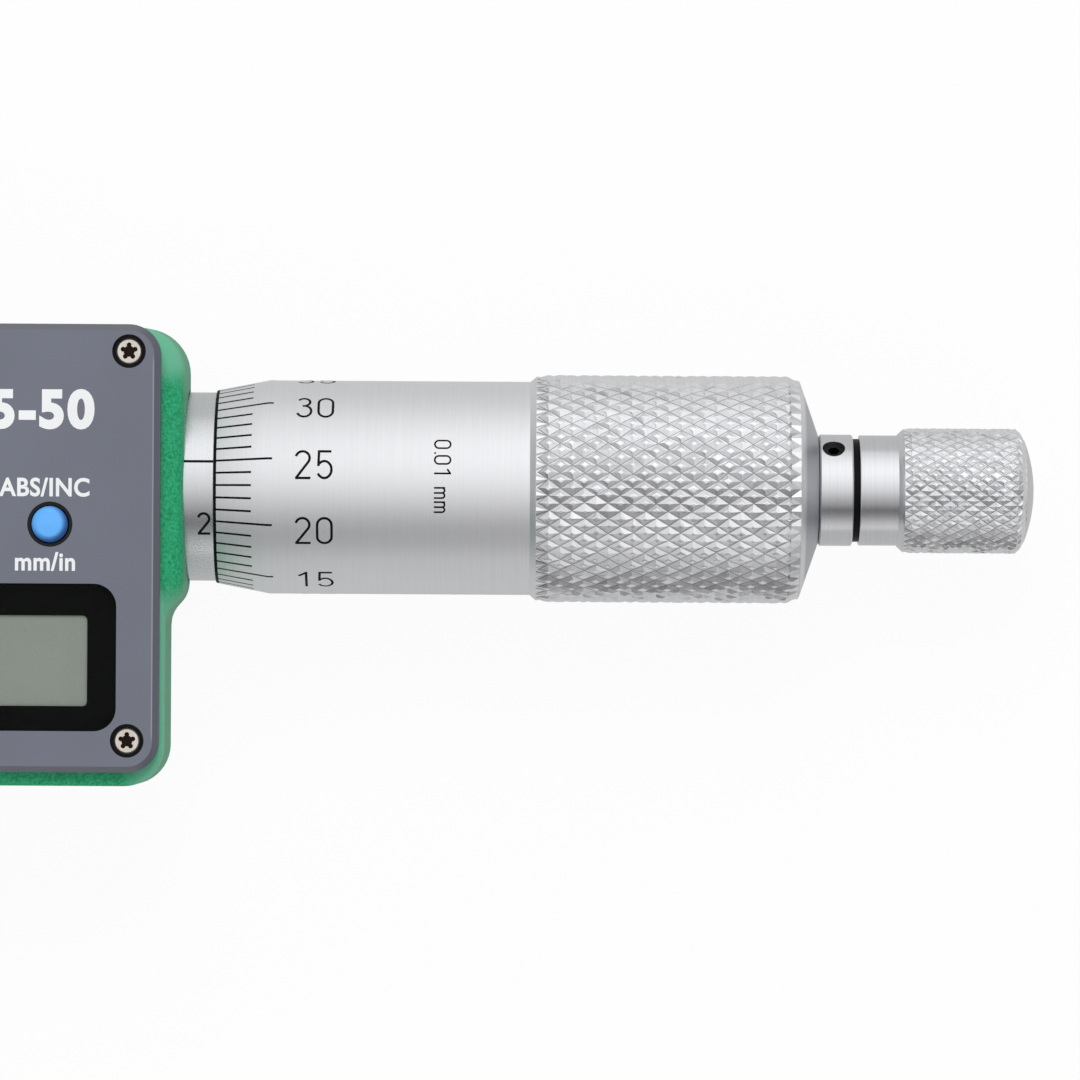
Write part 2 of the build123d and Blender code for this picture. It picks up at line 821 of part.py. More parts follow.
def lock_screw():
    low = nose_r + lock_gap
    top = low + lock_hub - loose
    body = post(lock_x, 0, lock_shank_r, spindle_r + slack, low)
    body += post(lock_x, 0, lock_screw_r, low, top)
    return body - slab(lock_x - lock_screw_r, lock_x + lock_screw_r, -lock_slot_half,
                       lock_slot_half, top - lock_slot_depth, top)


def save(name, shape):
    solids = shape.solids()
    export_step(solids[0] if len(solids) == 1 else Compound(children=list(solids)),
                f"parts/{name}.step")
    print(name, len(solids), round(sum(s.volume for s in solids), 2), flush=True)


os.makedirs("parts", exist_ok=True)
for piece in (frame, anvil, anvil_tip, front_cover, cover_gasket, cover_screws, display_window,
              display_mask, lcd_module, circuit_board, key_domes, keypad_seal, battery,
              battery_contact, encoder_stator, encoder_ribbon, thrust_washer, inner_barrel,
              outer_sleeve, adjusting_nut, spindle_seal, rotor_bush, rotor_disc, rotor_key,
              spindle, spindle_thread, spindle_tip, thimble, collar, set_screw, ratchet_bush,
              retaining_ring, ratchet_spring, clutch_disc, ratchet_knob, lock_lever, lock_screw,
              battery_cap, battery_seal):
    save(piece.__name__, piece())
for name, spot in zip(("power", "zero", "units"), button_spots()):
    save(f"button_{name}", button(spot))
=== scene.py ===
import json
import math

import bmesh
import bpy
import numpy as np
from mathutils import Matrix, Vector


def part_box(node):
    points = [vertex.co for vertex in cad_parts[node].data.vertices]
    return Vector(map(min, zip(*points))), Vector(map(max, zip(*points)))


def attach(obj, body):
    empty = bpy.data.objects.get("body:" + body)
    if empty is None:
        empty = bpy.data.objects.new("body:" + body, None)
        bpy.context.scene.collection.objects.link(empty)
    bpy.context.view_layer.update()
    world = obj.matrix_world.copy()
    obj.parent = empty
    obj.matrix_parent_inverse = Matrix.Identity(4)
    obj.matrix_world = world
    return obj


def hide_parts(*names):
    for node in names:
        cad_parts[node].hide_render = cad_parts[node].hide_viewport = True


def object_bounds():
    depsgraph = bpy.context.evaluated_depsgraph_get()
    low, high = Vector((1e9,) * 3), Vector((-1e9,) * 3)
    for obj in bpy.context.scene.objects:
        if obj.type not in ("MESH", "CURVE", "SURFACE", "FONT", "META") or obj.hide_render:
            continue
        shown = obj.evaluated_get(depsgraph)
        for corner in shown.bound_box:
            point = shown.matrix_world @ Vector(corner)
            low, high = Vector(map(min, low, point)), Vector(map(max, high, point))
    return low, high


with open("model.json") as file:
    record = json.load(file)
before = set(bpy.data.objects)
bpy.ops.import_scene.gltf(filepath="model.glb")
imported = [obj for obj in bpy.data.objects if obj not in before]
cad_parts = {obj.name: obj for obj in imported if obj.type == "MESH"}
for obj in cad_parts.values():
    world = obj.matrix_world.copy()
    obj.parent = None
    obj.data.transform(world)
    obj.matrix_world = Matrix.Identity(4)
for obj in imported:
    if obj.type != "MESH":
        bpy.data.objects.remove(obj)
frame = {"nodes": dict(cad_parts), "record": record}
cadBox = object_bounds()
cadNodes = frame["nodes"]
print("frame loaded:", len(cadNodes), "pieces")

mm = 0.001
pixel = 0.0845 * mm  # one pixel of the 1080 px photograph at the spindle's height

# places on the CAD pieces, in metres
coverLow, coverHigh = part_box("front_cover")
coverMidX = (coverLow[0] + coverHigh[0]) / 2
thimbleLow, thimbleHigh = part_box("thimble")
edgeX = thimbleLow[0]  # the thimble's front edge
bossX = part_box("frame")[1][0]  # the end of the boss round the sleeve
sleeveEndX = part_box("outer_sleeve")[1][0]
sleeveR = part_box("outer_sleeve")[1][2]
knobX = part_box("ratchet_knob")[0][0]  # the knob's front

# print on the cover: the keys' pitch, and the size and rows of the legends beside them
panel = {"keyPitch": 12.73 * mm, "height": 1.57 * mm, "narrowing": 0.92, "spacing": 1.06,
         "bold": 0.026, "above": -0.21 * mm, "below": -6.37 * mm,
         "lift": 0.012 * mm, "sink": 0.02 * mm}
# words, column, row, and how far they stand left of the key
legends = [
    ("ON/OFF", -1, "above", 0.0),
    ("SET", -1, "below", 0.0),
    ("ZERO", 0, "above", 0.0),
    ("HOLD", 0, "below", 0.0),
    ("ABS/INC", 1, "above", 0.48 * mm),
    ("mm/in", 1, "below", 0.38 * mm)]
rangeLabel = {"words": "25-50", "rightX": 101.5 * mm, "y": 6.26 * mm, "height": 3.36 * mm,
              "spacing": 1.14, "bold": 0.046}


# helpers for materials


def newMaterial(name):
    material = bpy.data.materials.new(name)
    material.use_nodes = True
    material.node_tree.nodes.clear()
    return material, material.node_tree


def addNode(tree, kind, **settings):
    node = tree.nodes.new(kind)
    for key, value in settings.items():
        if hasattr(node, key):
            setattr(node, key, value)
        else:
            node.inputs[key].default_value = value
    return node


def addGroup(tree, group, **values):
    node = tree.nodes.new("ShaderNodeGroup")
    node.node_tree = group
    for key, value in values.items():
        node.inputs[key].default_value = value
    return node


def link(tree, source, target):
    tree.links.new(source, target)


def newGroup(name, inputs, outputs):
    group = bpy.data.node_groups.new(name, "ShaderNodeTree")
    for label, kind, default in inputs:
        socket = group.interface.new_socket(label, in_out="INPUT", socket_type=kind)
        socket.default_value = default
    for label, kind in outputs:
        group.interface.new_socket(label, in_out="OUTPUT", socket_type=kind)
    return group, group.nodes.new("NodeGroupInput"), group.nodes.new("NodeGroupOutput")


def principled(tree, color, roughness, metallic=0.0):
    shader = tree.nodes.new("ShaderNodeBsdfPrincipled")
    shader.inputs["Base Color"].default_value = (*color, 1)
    shader.inputs["Roughness"].default_value = roughness
    shader.inputs["Metallic"].default_value = metallic
    out = tree.nodes.new("ShaderNodeOutputMaterial")
    link(tree, shader.outputs["BSDF"], out.inputs["Surface"])
    return shader


# noise stretched by the three Frequency values, in cycles per metre
def makeGrainGroup():
    group, start, end = newGroup("stretchedGrain", [
        ("Frequency", "NodeSocketVector", (1000, 1000, 1000)),
        ("Detail", "NodeSocketFloat", 3.0),
        ("Low", "NodeSocketFloat", 0.3),
        ("High", "NodeSocketFloat", 0.7)], [("Value", "NodeSocketFloat")])
    place = addNode(group, "ShaderNodeTexCoord")
    scaled = addNode(group, "ShaderNodeVectorMath", operation="MULTIPLY")
    link(group, place.outputs["Object"], scaled.inputs[0])
    link(group, start.outputs["Frequency"], scaled.inputs[1])
    noise = addNode(group, "ShaderNodeTexNoise", Scale=1.0)
    link(group, scaled.outputs[0], noise.inputs["Vector"])
    link(group, start.outputs["Detail"], noise.inputs["Detail"])
    spread = addNode(group, "ShaderNodeMapRange")
    link(group, noise.outputs["Fac"], spread.inputs["Value"])
    link(group, start.outputs["Low"], spread.inputs["From Min"])
    link(group, start.outputs["High"], spread.inputs["From Max"])
    link(group, spread.outputs["Result"], end.inputs["Value"])
    return group


# a colour that drifts between two by a value
def makeTintGroup():
    group, start, end = newGroup("tintByValue", [
        ("Value", "NodeSocketFloat", 0.5),
        ("Dark", "NodeSocketColor", (0, 0, 0, 1)),
        ("Light", "NodeSocketColor", (1, 1, 1, 1))], [("Color", "NodeSocketColor")])
    mix = addNode(group, "ShaderNodeMix", data_type="RGBA")
    link(group, start.outputs["Value"], mix.inputs[0])
    link(group, start.outputs["Dark"], mix.inputs[6])
    link(group, start.outputs["Light"], mix.inputs[7])
    link(group, mix.outputs[2], end.inputs["Color"])
    return group


grainGroup = makeGrainGroup()
tintGroup = makeTintGroup()


def addGrain(tree, frequency, detail=3.0, low=0.3, high=0.7):
    return addGroup(tree, grainGroup, Frequency=frequency, Detail=detail, Low=low,
                    High=high).outputs["Value"]


def addTint(tree, value, dark, light):
    node = addGroup(tree, tintGroup, Dark=(*dark, 1), Light=(*light, 1))
    link(tree, value, node.inputs["Value"])
    return node.outputs["Color"]


def addSpread(tree, value, low, high):
    node = addNode(tree, "ShaderNodeMapRange")
    link(tree, value, node.inputs["Value"])
    node.inputs["To Min"].default_value = low
    node.inputs["To Max"].default_value = high
    return node.outputs["Result"]


# 0 below one value and 1 above another, smooth between; reversed where the first is greater
def addStep(tree, value, start, end):
    node = addNode(tree, "ShaderNodeMapRange", interpolation_type="SMOOTHSTEP")
    link(tree, value, node.inputs["Value"])
    node.inputs["From Min"].default_value = min(start, end)
    node.inputs["From Max"].default_value = max(start, end)
    node.inputs["To Min"].default_value = float(start > end)
    node.inputs["To Max"].default_value = float(start < end)
    return node.outputs["Result"]


# a math node on sockets and plain numbers
def addMath(tree, operation, *values):
    node = addNode(tree, "ShaderNodeMath", operation=operation)
    for socket, value in zip(node.inputs, values):
        if isinstance(value, bpy.types.NodeSocket):
            link(tree, value, socket)
        else:
            socket.default_value = value
    return node.outputs[0]


def addProduct(tree, *values):
    result = values[0]
    for value in values[1:]:
        result = addMath(tree, "MULTIPLY", result, value)
    return result


def addLength(tree, first, second):
    squares = [addProduct(tree, part, part) for part in (first, second)]
    return addMath(tree, "SQRT", addMath(tree, "ADD", *squares))


# 1 between two values and 0 outside them, with a soft edge inside each
def addWindow(tree, value, low, high, edge):
    return addProduct(tree, addStep(tree, value, low, low + edge),
                      addStep(tree, value, high, high - edge))


def addMixShader(tree, share, first, second):
    node = addNode(tree, "ShaderNodeMixShader")
    for socket, source in zip(node.inputs, (share, first, second)):
        link(tree, source, socket)
    return node.outputs[0]


# x, y and z of a point or of the normal, in the object's own frame
def addParts(tree, kind="Object"):
    place = addNode(tree, "ShaderNodeTexCoord")
    split = addNode(tree, "ShaderNodeSeparateXYZ")
    link(tree, place.outputs[kind], split.inputs[0])
    return split.outputs["X"], split.outputs["Y"], split.outputs["Z"]


# mixes the shader's base colour toward another by a value
def addOverlay(tree, value, color):
    shader = next(n for n in tree.nodes if n.type == "BSDF_PRINCIPLED")
    under = shader.inputs["Base Color"].links[0].from_socket
    node = addGroup(tree, tintGroup, Light=(*color, 1))
    link(tree, value, node.inputs["Value"])
    link(tree, under, node.inputs["Dark"])
    link(tree, node.outputs["Color"], shader.inputs["Base Color"])


def addBump(tree, height, distance, normal=None):
    node = addNode(tree, "ShaderNodeBump", Strength=1.0, Distance=distance)
    link(tree, height, node.inputs["Height"])
    if normal:
        link(tree, normal, node.inputs["Normal"])
    return node.outputs["Normal"]


# how far the grooves of turned metal are drawn out round the axis, and its fine tooth
turning = {"stretch": 60, "tooth": 9000, "smoother": 0.05, "rougher": 0.06}


# metal turned round the X axis: grooves that run round, with a fine tooth
def turnedMetal(name, values):
    material, tree = newMaterial(name)
    shader = principled(tree, values["light"], values["roughness"], 1.0)
    along = values["rings"] / turning["stretch"]
    rings = addGrain(tree, (values["rings"], along, along))
    tooth = addGrain(tree, (turning["tooth"],) * 3, 2.0)
    link(tree, addTint(tree, rings, values["dark"], values["light"]),
         shader.inputs["Base Color"])
    link(tree, addSpread(tree, tooth, values["roughness"] - turning["smoother"],
                         values["roughness"] + turning["rougher"]), shader.inputs["Roughness"])
    coarse = addBump(tree, rings, values["depth"])
    link(tree, addBump(tree, tooth, values["tooth"], normal=coarse), shader.inputs["Normal"])
    return material


satinSteel = {"light": (0.78, 0.785, 0.80), "dark": (0.735, 0.74, 0.755), "roughness": 0.21,
              "rings": 9000, "depth": 0.0004 * mm, "tooth": 0.0010 * mm}
# the thimble's tail colour is painted shade on its rear cone
thimbleSteel = {"light": (0.955, 0.96, 0.975), "dark": (0.915, 0.92, 0.935), "roughness": 0.47,
                "rings": 7000, "depth": 0.0005 * mm, "tooth": 0.0020 * mm,
                "tail": (0.62, 0.63, 0.67), "tailLength": 1.35 * mm, "tailEdge": 0.3 * mm}
sleeveSteel = {"light": (0.755, 0.77, 0.78), "dark": (0.71, 0.725, 0.74), "roughness": 0.27,
               "rings": 9000, "depth": 0.0003 * mm, "tooth": 0.0005 * mm}
# the darker colour low in the knurl's grooves is painted shade
knurlSteel = {"light": (0.98, 0.985, 1.0), "dark": (0.93, 0.935, 0.95), "roughness": 0.30,
              "rings": 5000, "depth": 0.0004 * mm, "tooth": 0.0012 * mm,
              "grooveShade": (0.47, 0.475, 0.49), "grooveShadeShare": 0.14, "grooveShadeEdge": 0.05 * mm}
groundSteel = {"light": (0.78, 0.78, 0.79), "dark": (0.66, 0.66, 0.67), "roughness": 0.18,
               "rings": 16000, "depth": 0.0003 * mm, "tooth": 0.0005 * mm}
carbide = {"light": (0.36, 0.36, 0.37), "dark": (0.30, 0.30, 0.31), "roughness": 0.16,
           "rings": 12000, "depth": 0.0002 * mm, "tooth": 0.0004 * mm}
darkSteel = {"light": (0.035, 0.035, 0.038), "dark": (0.02, 0.02, 0.022), "roughness": 0.42,
             "rings": 6000, "depth": 0.0006 * mm, "tooth": 0.002 * mm}
# the darker recess colour of the screws is painted shade
warmSteel = {"light": (0.86, 0.80, 0.73), "dark": (0.70, 0.64, 0.56), "roughness": 0.26,
             "rings": 9000, "depth": 0.0005 * mm, "tooth": 0.001 * mm,
             "headBelow": 0.15 * mm, "recessShade": (0.022, 0.014, 0.010),
             "recessFrom": 0.11 * mm, "recessFull": 0.15 * mm}
brassTurned = {"light": (0.75, 0.56, 0.25), "dark": (0.60, 0.43, 0.17), "roughness": 0.3,
               "rings": 8000, "depth": 0.0005 * mm, "tooth": 0.001 * mm}

# a painted pale sheen lies on the paint behind the cover's end, beside the sleeve and just under
# the cover: each pair of distances is where that starts and where it is full
greenPaint = {"light": (0.028, 0.430, 0.200), "dark": (0.004, 0.240, 0.092),
              "roughness": 0.42, "smoother": 0.08, "rougher": 0.10, "specular": 0.28,
              "pebbles": 4100, "pebbleDepth": 0.008 * mm, "pebbleLow": 0.32, "pebbleHigh": 0.68,
              "speckle": 9000, "speckleDepth": 0.004 * mm,
              "paleSheen": (0.170, 0.500, 0.340), "paleSheenMost": 0.8, "paleSheenLeast": 0.6,
              "beforeEnd": (3.5 * mm, 1.0 * mm), "aside": (8.0 * mm, 10.2 * mm),
              "underCover": (3.0 * mm, 1.0 * mm)}


# sandy enamel on a casting, with a painted pale sheen at the corners beside the cover
def paintedCasting():
    material, tree = newMaterial("greenPaint")
    v = greenPaint
    shader = principled(tree, v["light"], v["roughness"])
    shader.inputs["Specular IOR Level"].default_value = v["specular"]
    pebbles = addGrain(tree, (v["pebbles"],) * 3, 2.0, v["pebbleLow"], v["pebbleHigh"])
    speckle = addGrain(tree, (v["speckle"],) * 3)
    link(tree, addTint(tree, pebbles, v["dark"], v["light"]), shader.inputs["Base Color"])
    x, y, z = addParts(tree)
    # painted pale sheen at the corners beside the cover
    corner = addProduct(tree, addStep(tree, x, *[coverHigh[0] - d for d in v["beforeEnd"]]),
                        addStep(tree, addMath(tree, "ABSOLUTE", y), *v["aside"]),
                        addStep(tree, z, *[coverLow[2] - d for d in v["underCover"]]),
                        addSpread(tree, pebbles, v["paleSheenMost"], v["paleSheenLeast"]))
    addOverlay(tree, corner, v["paleSheen"])
    link(tree, addSpread(tree, pebbles, v["roughness"] - v["smoother"],
                         v["roughness"] + v["rougher"]), shader.inputs["Roughness"])
    rough = addBump(tree, pebbles, v["pebbleDepth"])
    link(tree, addBump(tree, speckle, v["speckleDepth"], normal=rough),
         shader.inputs["Normal"])
    return material


# how the colour of a moulding drifts, and how its roughness varies
moulding = {"drift": 120, "driftLow": 0.25, "driftHigh": 0.75, "spread": 0.06}


# moulded plastic or rubber with a fine sparked surface
def moulded(name, values):
    material, tree = newMaterial(name)
    shader = principled(tree, values["light"], values["roughness"])
    shader.inputs["Specular IOR Level"].default_value = values.get("specular", 0.5)
    spark = addGrain(tree, (values["spark"],) * 3, 2.0)
    drift = addGrain(tree, (moulding["drift"],) * 3, 2.0, moulding["driftLow"],
                     moulding["driftHigh"])
    link(tree, addTint(tree, drift, values["dark"], values["light"]),
         shader.inputs["Base Color"])
    link(tree, addSpread(tree, spark, values["roughness"] - moulding["spread"],
                         values["roughness"] + moulding["spread"]), shader.inputs["Roughness"])
    link(tree, addBump(tree, spark, values["depth"]), shader.inputs["Normal"])
    return material


# on the cover the bevel and shade colours are painted shade, the crease colour a painted highlight
# and the black of the wells painted shadow
greyCover = {"light": (0.152, 0.164, 0.205), "dark": (0.140, 0.151, 0.189), "roughness": 0.5,
             "spark": 7000, "depth": 0.004 * mm,
             "bevel": (0.128, 0.132, 0.152), "bevelLean": (0.95, 0.80),
             "shade": (0.098, 0.104, 0.130), "shadeLean": (0.1, 0.5),
             "creaseHighlight": (0.27, 0.28, 0.33), "creaseWidth": 0.09 * mm, "creaseIn": 0.56 * mm,
             "creaseDepth": (0.2 * mm, 0.1 * mm), "corner": 2.4 * mm, "cornerEdge": 1.0 * mm,
             "wellShadow": (0.002, 0.002, 0.002), "wellShadowDepth": (0.4 * mm, 0.55 * mm),
             "wall": 0.8 * mm, "wallEdge": 0.1 * mm}
blackRubber = {"light": (0.016, 0.016, 0.017), "dark": (0.010, 0.010, 0.011), "specular": 0.2,
               "roughness": 0.55, "spark": 5000, "depth": 0.004 * mm}
blackPlastic = {"light": (0.006, 0.006, 0.008), "dark": (0.004, 0.004, 0.005), "specular": 0.08,
                "roughness": 0.38, "spark": 6000, "depth": 0.002 * mm}
blackFilm = {"light": (0.0030, 0.0030, 0.0033), "dark": (0.002, 0.002, 0.0022), "specular": 0.05,
             "roughness": 0.2, "spark": 2000, "depth": 0.0005 * mm}
# the key's shoulder colour is painted shade on its edge
blueKey = {"light": (0.12, 0.44, 0.95), "dark": (0.10, 0.40, 0.90), "roughness": 0.26,
           "spark": 3000, "depth": 0.0008 * mm, "shoulder": (0.006, 0.060, 0.25),
           "pull": 0.16 * mm, "clear": 1.02 * mm, "edge": 1.62 * mm}
boardGreen = {"light": (0.03, 0.17, 0.08), "dark": (0.02, 0.12, 0.05), "roughness": 0.4,
              "spark": 3000, "depth": 0.002 * mm}
amberFilm = {"light": (0.48, 0.25, 0.06), "dark": (0.40, 0.19, 0.04), "roughness": 0.35,
             "spark": 3000, "depth": 0.001 * mm}
displayGlass = {"light": (0.40, 0.45, 0.385), "dark": (0.36, 0.41, 0.35), "roughness": 0.3,
                "spark": 9000, "depth": 0.0005 * mm}
whiteInk = {"light": (0.86, 0.87, 0.88), "dark": (0.80, 0.81, 0.83), "roughness": 0.5,
            "spark": 6000, "depth": 0.001 * mm}
blackInk = {"light": (0.005, 0.005, 0.006), "dark": (0.003, 0.003, 0.004), "specular": 0.1,
            "roughness": 0.5, "spark": 9000, "depth": 0.002 * mm}
paneGlass = {"color": (0.02, 0.022, 0.022), "roughness": 0.06, "specular": 0.06, "alpha": 0.12,
             "smear": 300, "clean": 0.04, "smeared": 0.09}


def clearPane():
    v = paneGlass
    material, tree = newMaterial("clearPane")
    shader = principled(tree, v["color"], v["roughness"])
    shader.inputs["Specular IOR Level"].default_value = v["specular"]
    smear = addGrain(tree, (v["smear"],) * 3, 2.0)
    link(tree, addSpread(tree, smear, v["clean"], v["smeared"]), shader.inputs["Roughness"])
    shader.inputs["Alpha"].default_value = v["alpha"]
    return material


# the cover, with painted shade on its bevel, most where it leans to +X, a painted highlight along
# the crease at its right end, and painted shadow that makes the wells black
def bevelledCover():
    v = greyCover
    material = moulded("greyCover", v)
    tree = material.node_tree
    x, y, z = addParts(tree)
    lean = addParts(tree, "Normal")
    bevel = addStep(tree, lean[2], *v["bevelLean"])
    addOverlay(tree, bevel, v["bevel"])
    addOverlay(tree, addProduct(tree, bevel, addStep(tree, lean[0], *v["shadeLean"])), v["shade"])
    # painted highlight: a light line along the crease at the cover's right end
    creaseX, width = coverHigh[0] - v["creaseIn"], v["creaseWidth"]
    creaseHighlight = addProduct(
        tree, addWindow(tree, x, creaseX - width, creaseX + width, width),
        addWindow(tree, y, coverLow[1] + v["corner"], coverHigh[1] - v["corner"], v["cornerEdge"]),
        addStep(tree, z, *[coverHigh[2] - d for d in v["creaseDepth"]]))
    addOverlay(tree, creaseHighlight, v["creaseHighlight"])
    # painted shadow: the wells inside the cover's rim are coloured black
    wellShadow = [addWindow(tree, value, coverLow[k] + v["wall"], coverHigh[k] - v["wall"], v["wallEdge"])
            for k, value in ((0, x), (1, y))]
    wellShadow.append(addStep(tree, z, *[coverHigh[2] - d for d in v["wellShadowDepth"]]))
    addOverlay(tree, addProduct(tree, *wellShadow), v["wellShadow"])
    return material


# keys with painted shade on their edge, darkest toward the lower right; the three stand one pitch
# apart
def shadedKey():
    v = blueKey
    material = moulded("blueKey", v)
    tree = material.node_tree
    place = addParts(tree)
    keyLow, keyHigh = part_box("button_zero")
    half = panel["keyPitch"] / 2
    parts = []
    for k, pull in ((0, -v["pull"]), (1, v["pull"])):
        moved = addMath(tree, "SUBTRACT", place[k], (keyLow[k] + keyHigh[k]) / 2)
        wrapped = addMath(tree, "WRAP", moved, half, -half)
        parts.append(addMath(tree, "SUBTRACT", wrapped, pull))
    addOverlay(tree, addStep(tree, addLength(tree, *parts), v["clear"], v["edge"]), v["shoulder"])
    return material


# screws with painted shade in their recess and down their heads' sides; their heads lie a little
# below the cover's face
def recessedSteel():
    v = warmSteel
    material = turnedMetal("screwSteel", v)
    tree = material.node_tree
    face = coverHigh[2] - v["headBelow"]
    addOverlay(tree, addStep(tree, addParts(tree)[2], face - v["recessFrom"],
                             face - v["recessFull"]), v["recessShade"])
    return material


# knurled steel with painted shade low in its grooves, as far along as they are straight
def knurledSteel(name, crestR, depth, straightTo):
    v = knurlSteel
    material = turnedMetal(name, v)
    tree = material.node_tree
    x, y, z = addParts(tree)
    foot = crestR - depth
    low = addStep(tree, addLength(tree, y, z), foot + v["grooveShadeShare"] * depth, foot)
    straight = addStep(tree, x, straightTo, straightTo - v["grooveShadeEdge"])
    addOverlay(tree, addProduct(tree, low, straight), v["grooveShade"])
    return material


# the thimble's metal, with painted shade darkening its rear cone
def tailedSteel():
    v = thimbleSteel
    material = turnedMetal("thimbleSteel", v)
    tree = material.node_tree
    start = thimbleHigh[0] - v["tailLength"]
    addOverlay(tree, addStep(tree, addParts(tree)[0], start, start + v["tailEdge"]), v["tail"])
    return material


# a finish for each material slot of the record
finishes = {
    "green_paint": paintedCasting(),
    "grey_cover": bevelledCover(),
    "satin_steel": turnedMetal("satinSteel", satinSteel),
    "ground_steel": turnedMetal("groundSteel", groundSteel),
    "carbide": turnedMetal("carbide", carbide),
    "dark_steel": turnedMetal("darkSteel", darkSteel),
    "warm_steel": turnedMetal("warmSteel", warmSteel),
    "black_rubber": moulded("blackRubber", blackRubber),
    "clear_pane": clearPane(),
    "black_film": moulded("blackFilm", blackFilm),
    "display": moulded("displayGlass", displayGlass),
    "board_green": moulded("boardGreen", boardGreen),
    "amber_film": moulded("amberFilm", amberFilm),
    "blue_button": shadedKey(),
    "black_plastic": moulded("blackPlastic", blackPlastic),
    "brass": turnedMetal("brassTurned", brassTurned)}
sleeveFinish = turnedMetal("sleeveSteel", sleeveSteel)
thimbleFinish = tailedSteel()
whitePrint = moulded("whiteInk", whiteInk)
blackPrint = moulded("blackInk", blackInk)

for part in frame["record"]["subparts"]:
    mesh = cadNodes[part["node"]].data
    mesh.materials.clear()
    mesh.materials.append(finishes[part["material_slot"]])
cadNodes["outer_sleeve"].data.materials[0] = sleeveFinish
cadNodes["cover_screws"].data.materials[0] = recessedSteel()
print("finishes on the CAD pieces")


# mesh helpers


def addPiece(name, points, faces, material, slotName, body):
    mesh = bpy.data.meshes.new(name)
    mesh.from_pydata(np.asarray(points).tolist(), [], [list(f) for f in faces])
    mesh.materials.append(material)
    piece = bpy.data.objects.new(name, mesh)
    bpy.context.scene.collection.objects.link(piece)
    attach(piece, body)
    return piece


# rounds the corners of a profile given as (x, radius, rounding): each becomes an arc that
# touches both of its sides
def softened(corners, steps=6):
    spots = np.array([c[:2] for c in corners], float)
    pieces = []
    for i, soft in enumerate(c[2] for c in corners):
        if not soft:
            pieces.append(spots[i:i + 1])
            continue
        back = spots[i - 1] - spots[i]
        ahead = spots[(i + 1) % len(spots)] - spots[i]
        back /= np.linalg.norm(back)
        ahead /= np.linalg.norm(ahead)
        half = math.acos(np.clip(back @ ahead, -1, 1)) / 2
        centre = spots[i] + (back + ahead) / np.linalg.norm(back + ahead) * soft / math.sin(half)
        first = spots[i] + back * soft / math.tan(half) - centre
        last = spots[i] + ahead * soft / math.tan(half) - centre
        sweep = math.pi - 2 * half
        t = np.linspace(0, 1, steps)[:, None]
        pieces.append(centre + (np.sin((1 - t) * sweep) * first + np.sin(t * sweep) * last)
                      / math.sin(sweep))
    return np.concatenate(pieces)


# surface of revolution round X: every profile point (x, r) goes to (x, r sin a, r cos a)
def turnedSurface(profile, around, loop):
    angle = np.linspace(0, 2 * np.pi, around, endpoint=False)
    x, r = profile[:, :1], profile[:, 1:]
    points = np.stack([x + 0 * angle, r * np.sin(angle), r * np.cos(angle)], 2)
    rows = len(profile)
    i, j = np.meshgrid(np.arange(rows if loop else rows - 1), np.arange(around), indexing="ij")
    ahead, beside = (i + 1) % rows, (j + 1) % around
    faces = np.stack([i * around + j, ahead * around + j, ahead * around + beside,
                      i * around + beside], 2)
    return points.reshape(-1, 3), faces.reshape(-1, 4)


# merges doubles, so that seams and poles close, and turns the faces outward
def closeSeams(mesh, outward=False):
    work = bmesh.new()
    work.from_mesh(mesh)
    bmesh.ops.remove_doubles(work, verts=work.verts, dist=1e-7)
    bmesh.ops.dissolve_degenerate(work, edges=work.edges, dist=1e-8)
    if outward:
        bmesh.ops.recalc_face_normals(work, faces=work.faces)
    work.to_mesh(mesh)
    work.free()


def addTurned(name, corners, around, material, slotName, body, loop=True, steps=6):
    points, faces = turnedSurface(softened(corners, steps), around, loop)
    piece = addPiece(name, points, faces, material, slotName, body)
    closeSeams(piece.data)
    piece.data.shade_smooth()
    piece.data.set_sharp_from_angle(angle=math.radians(24))
    return piece


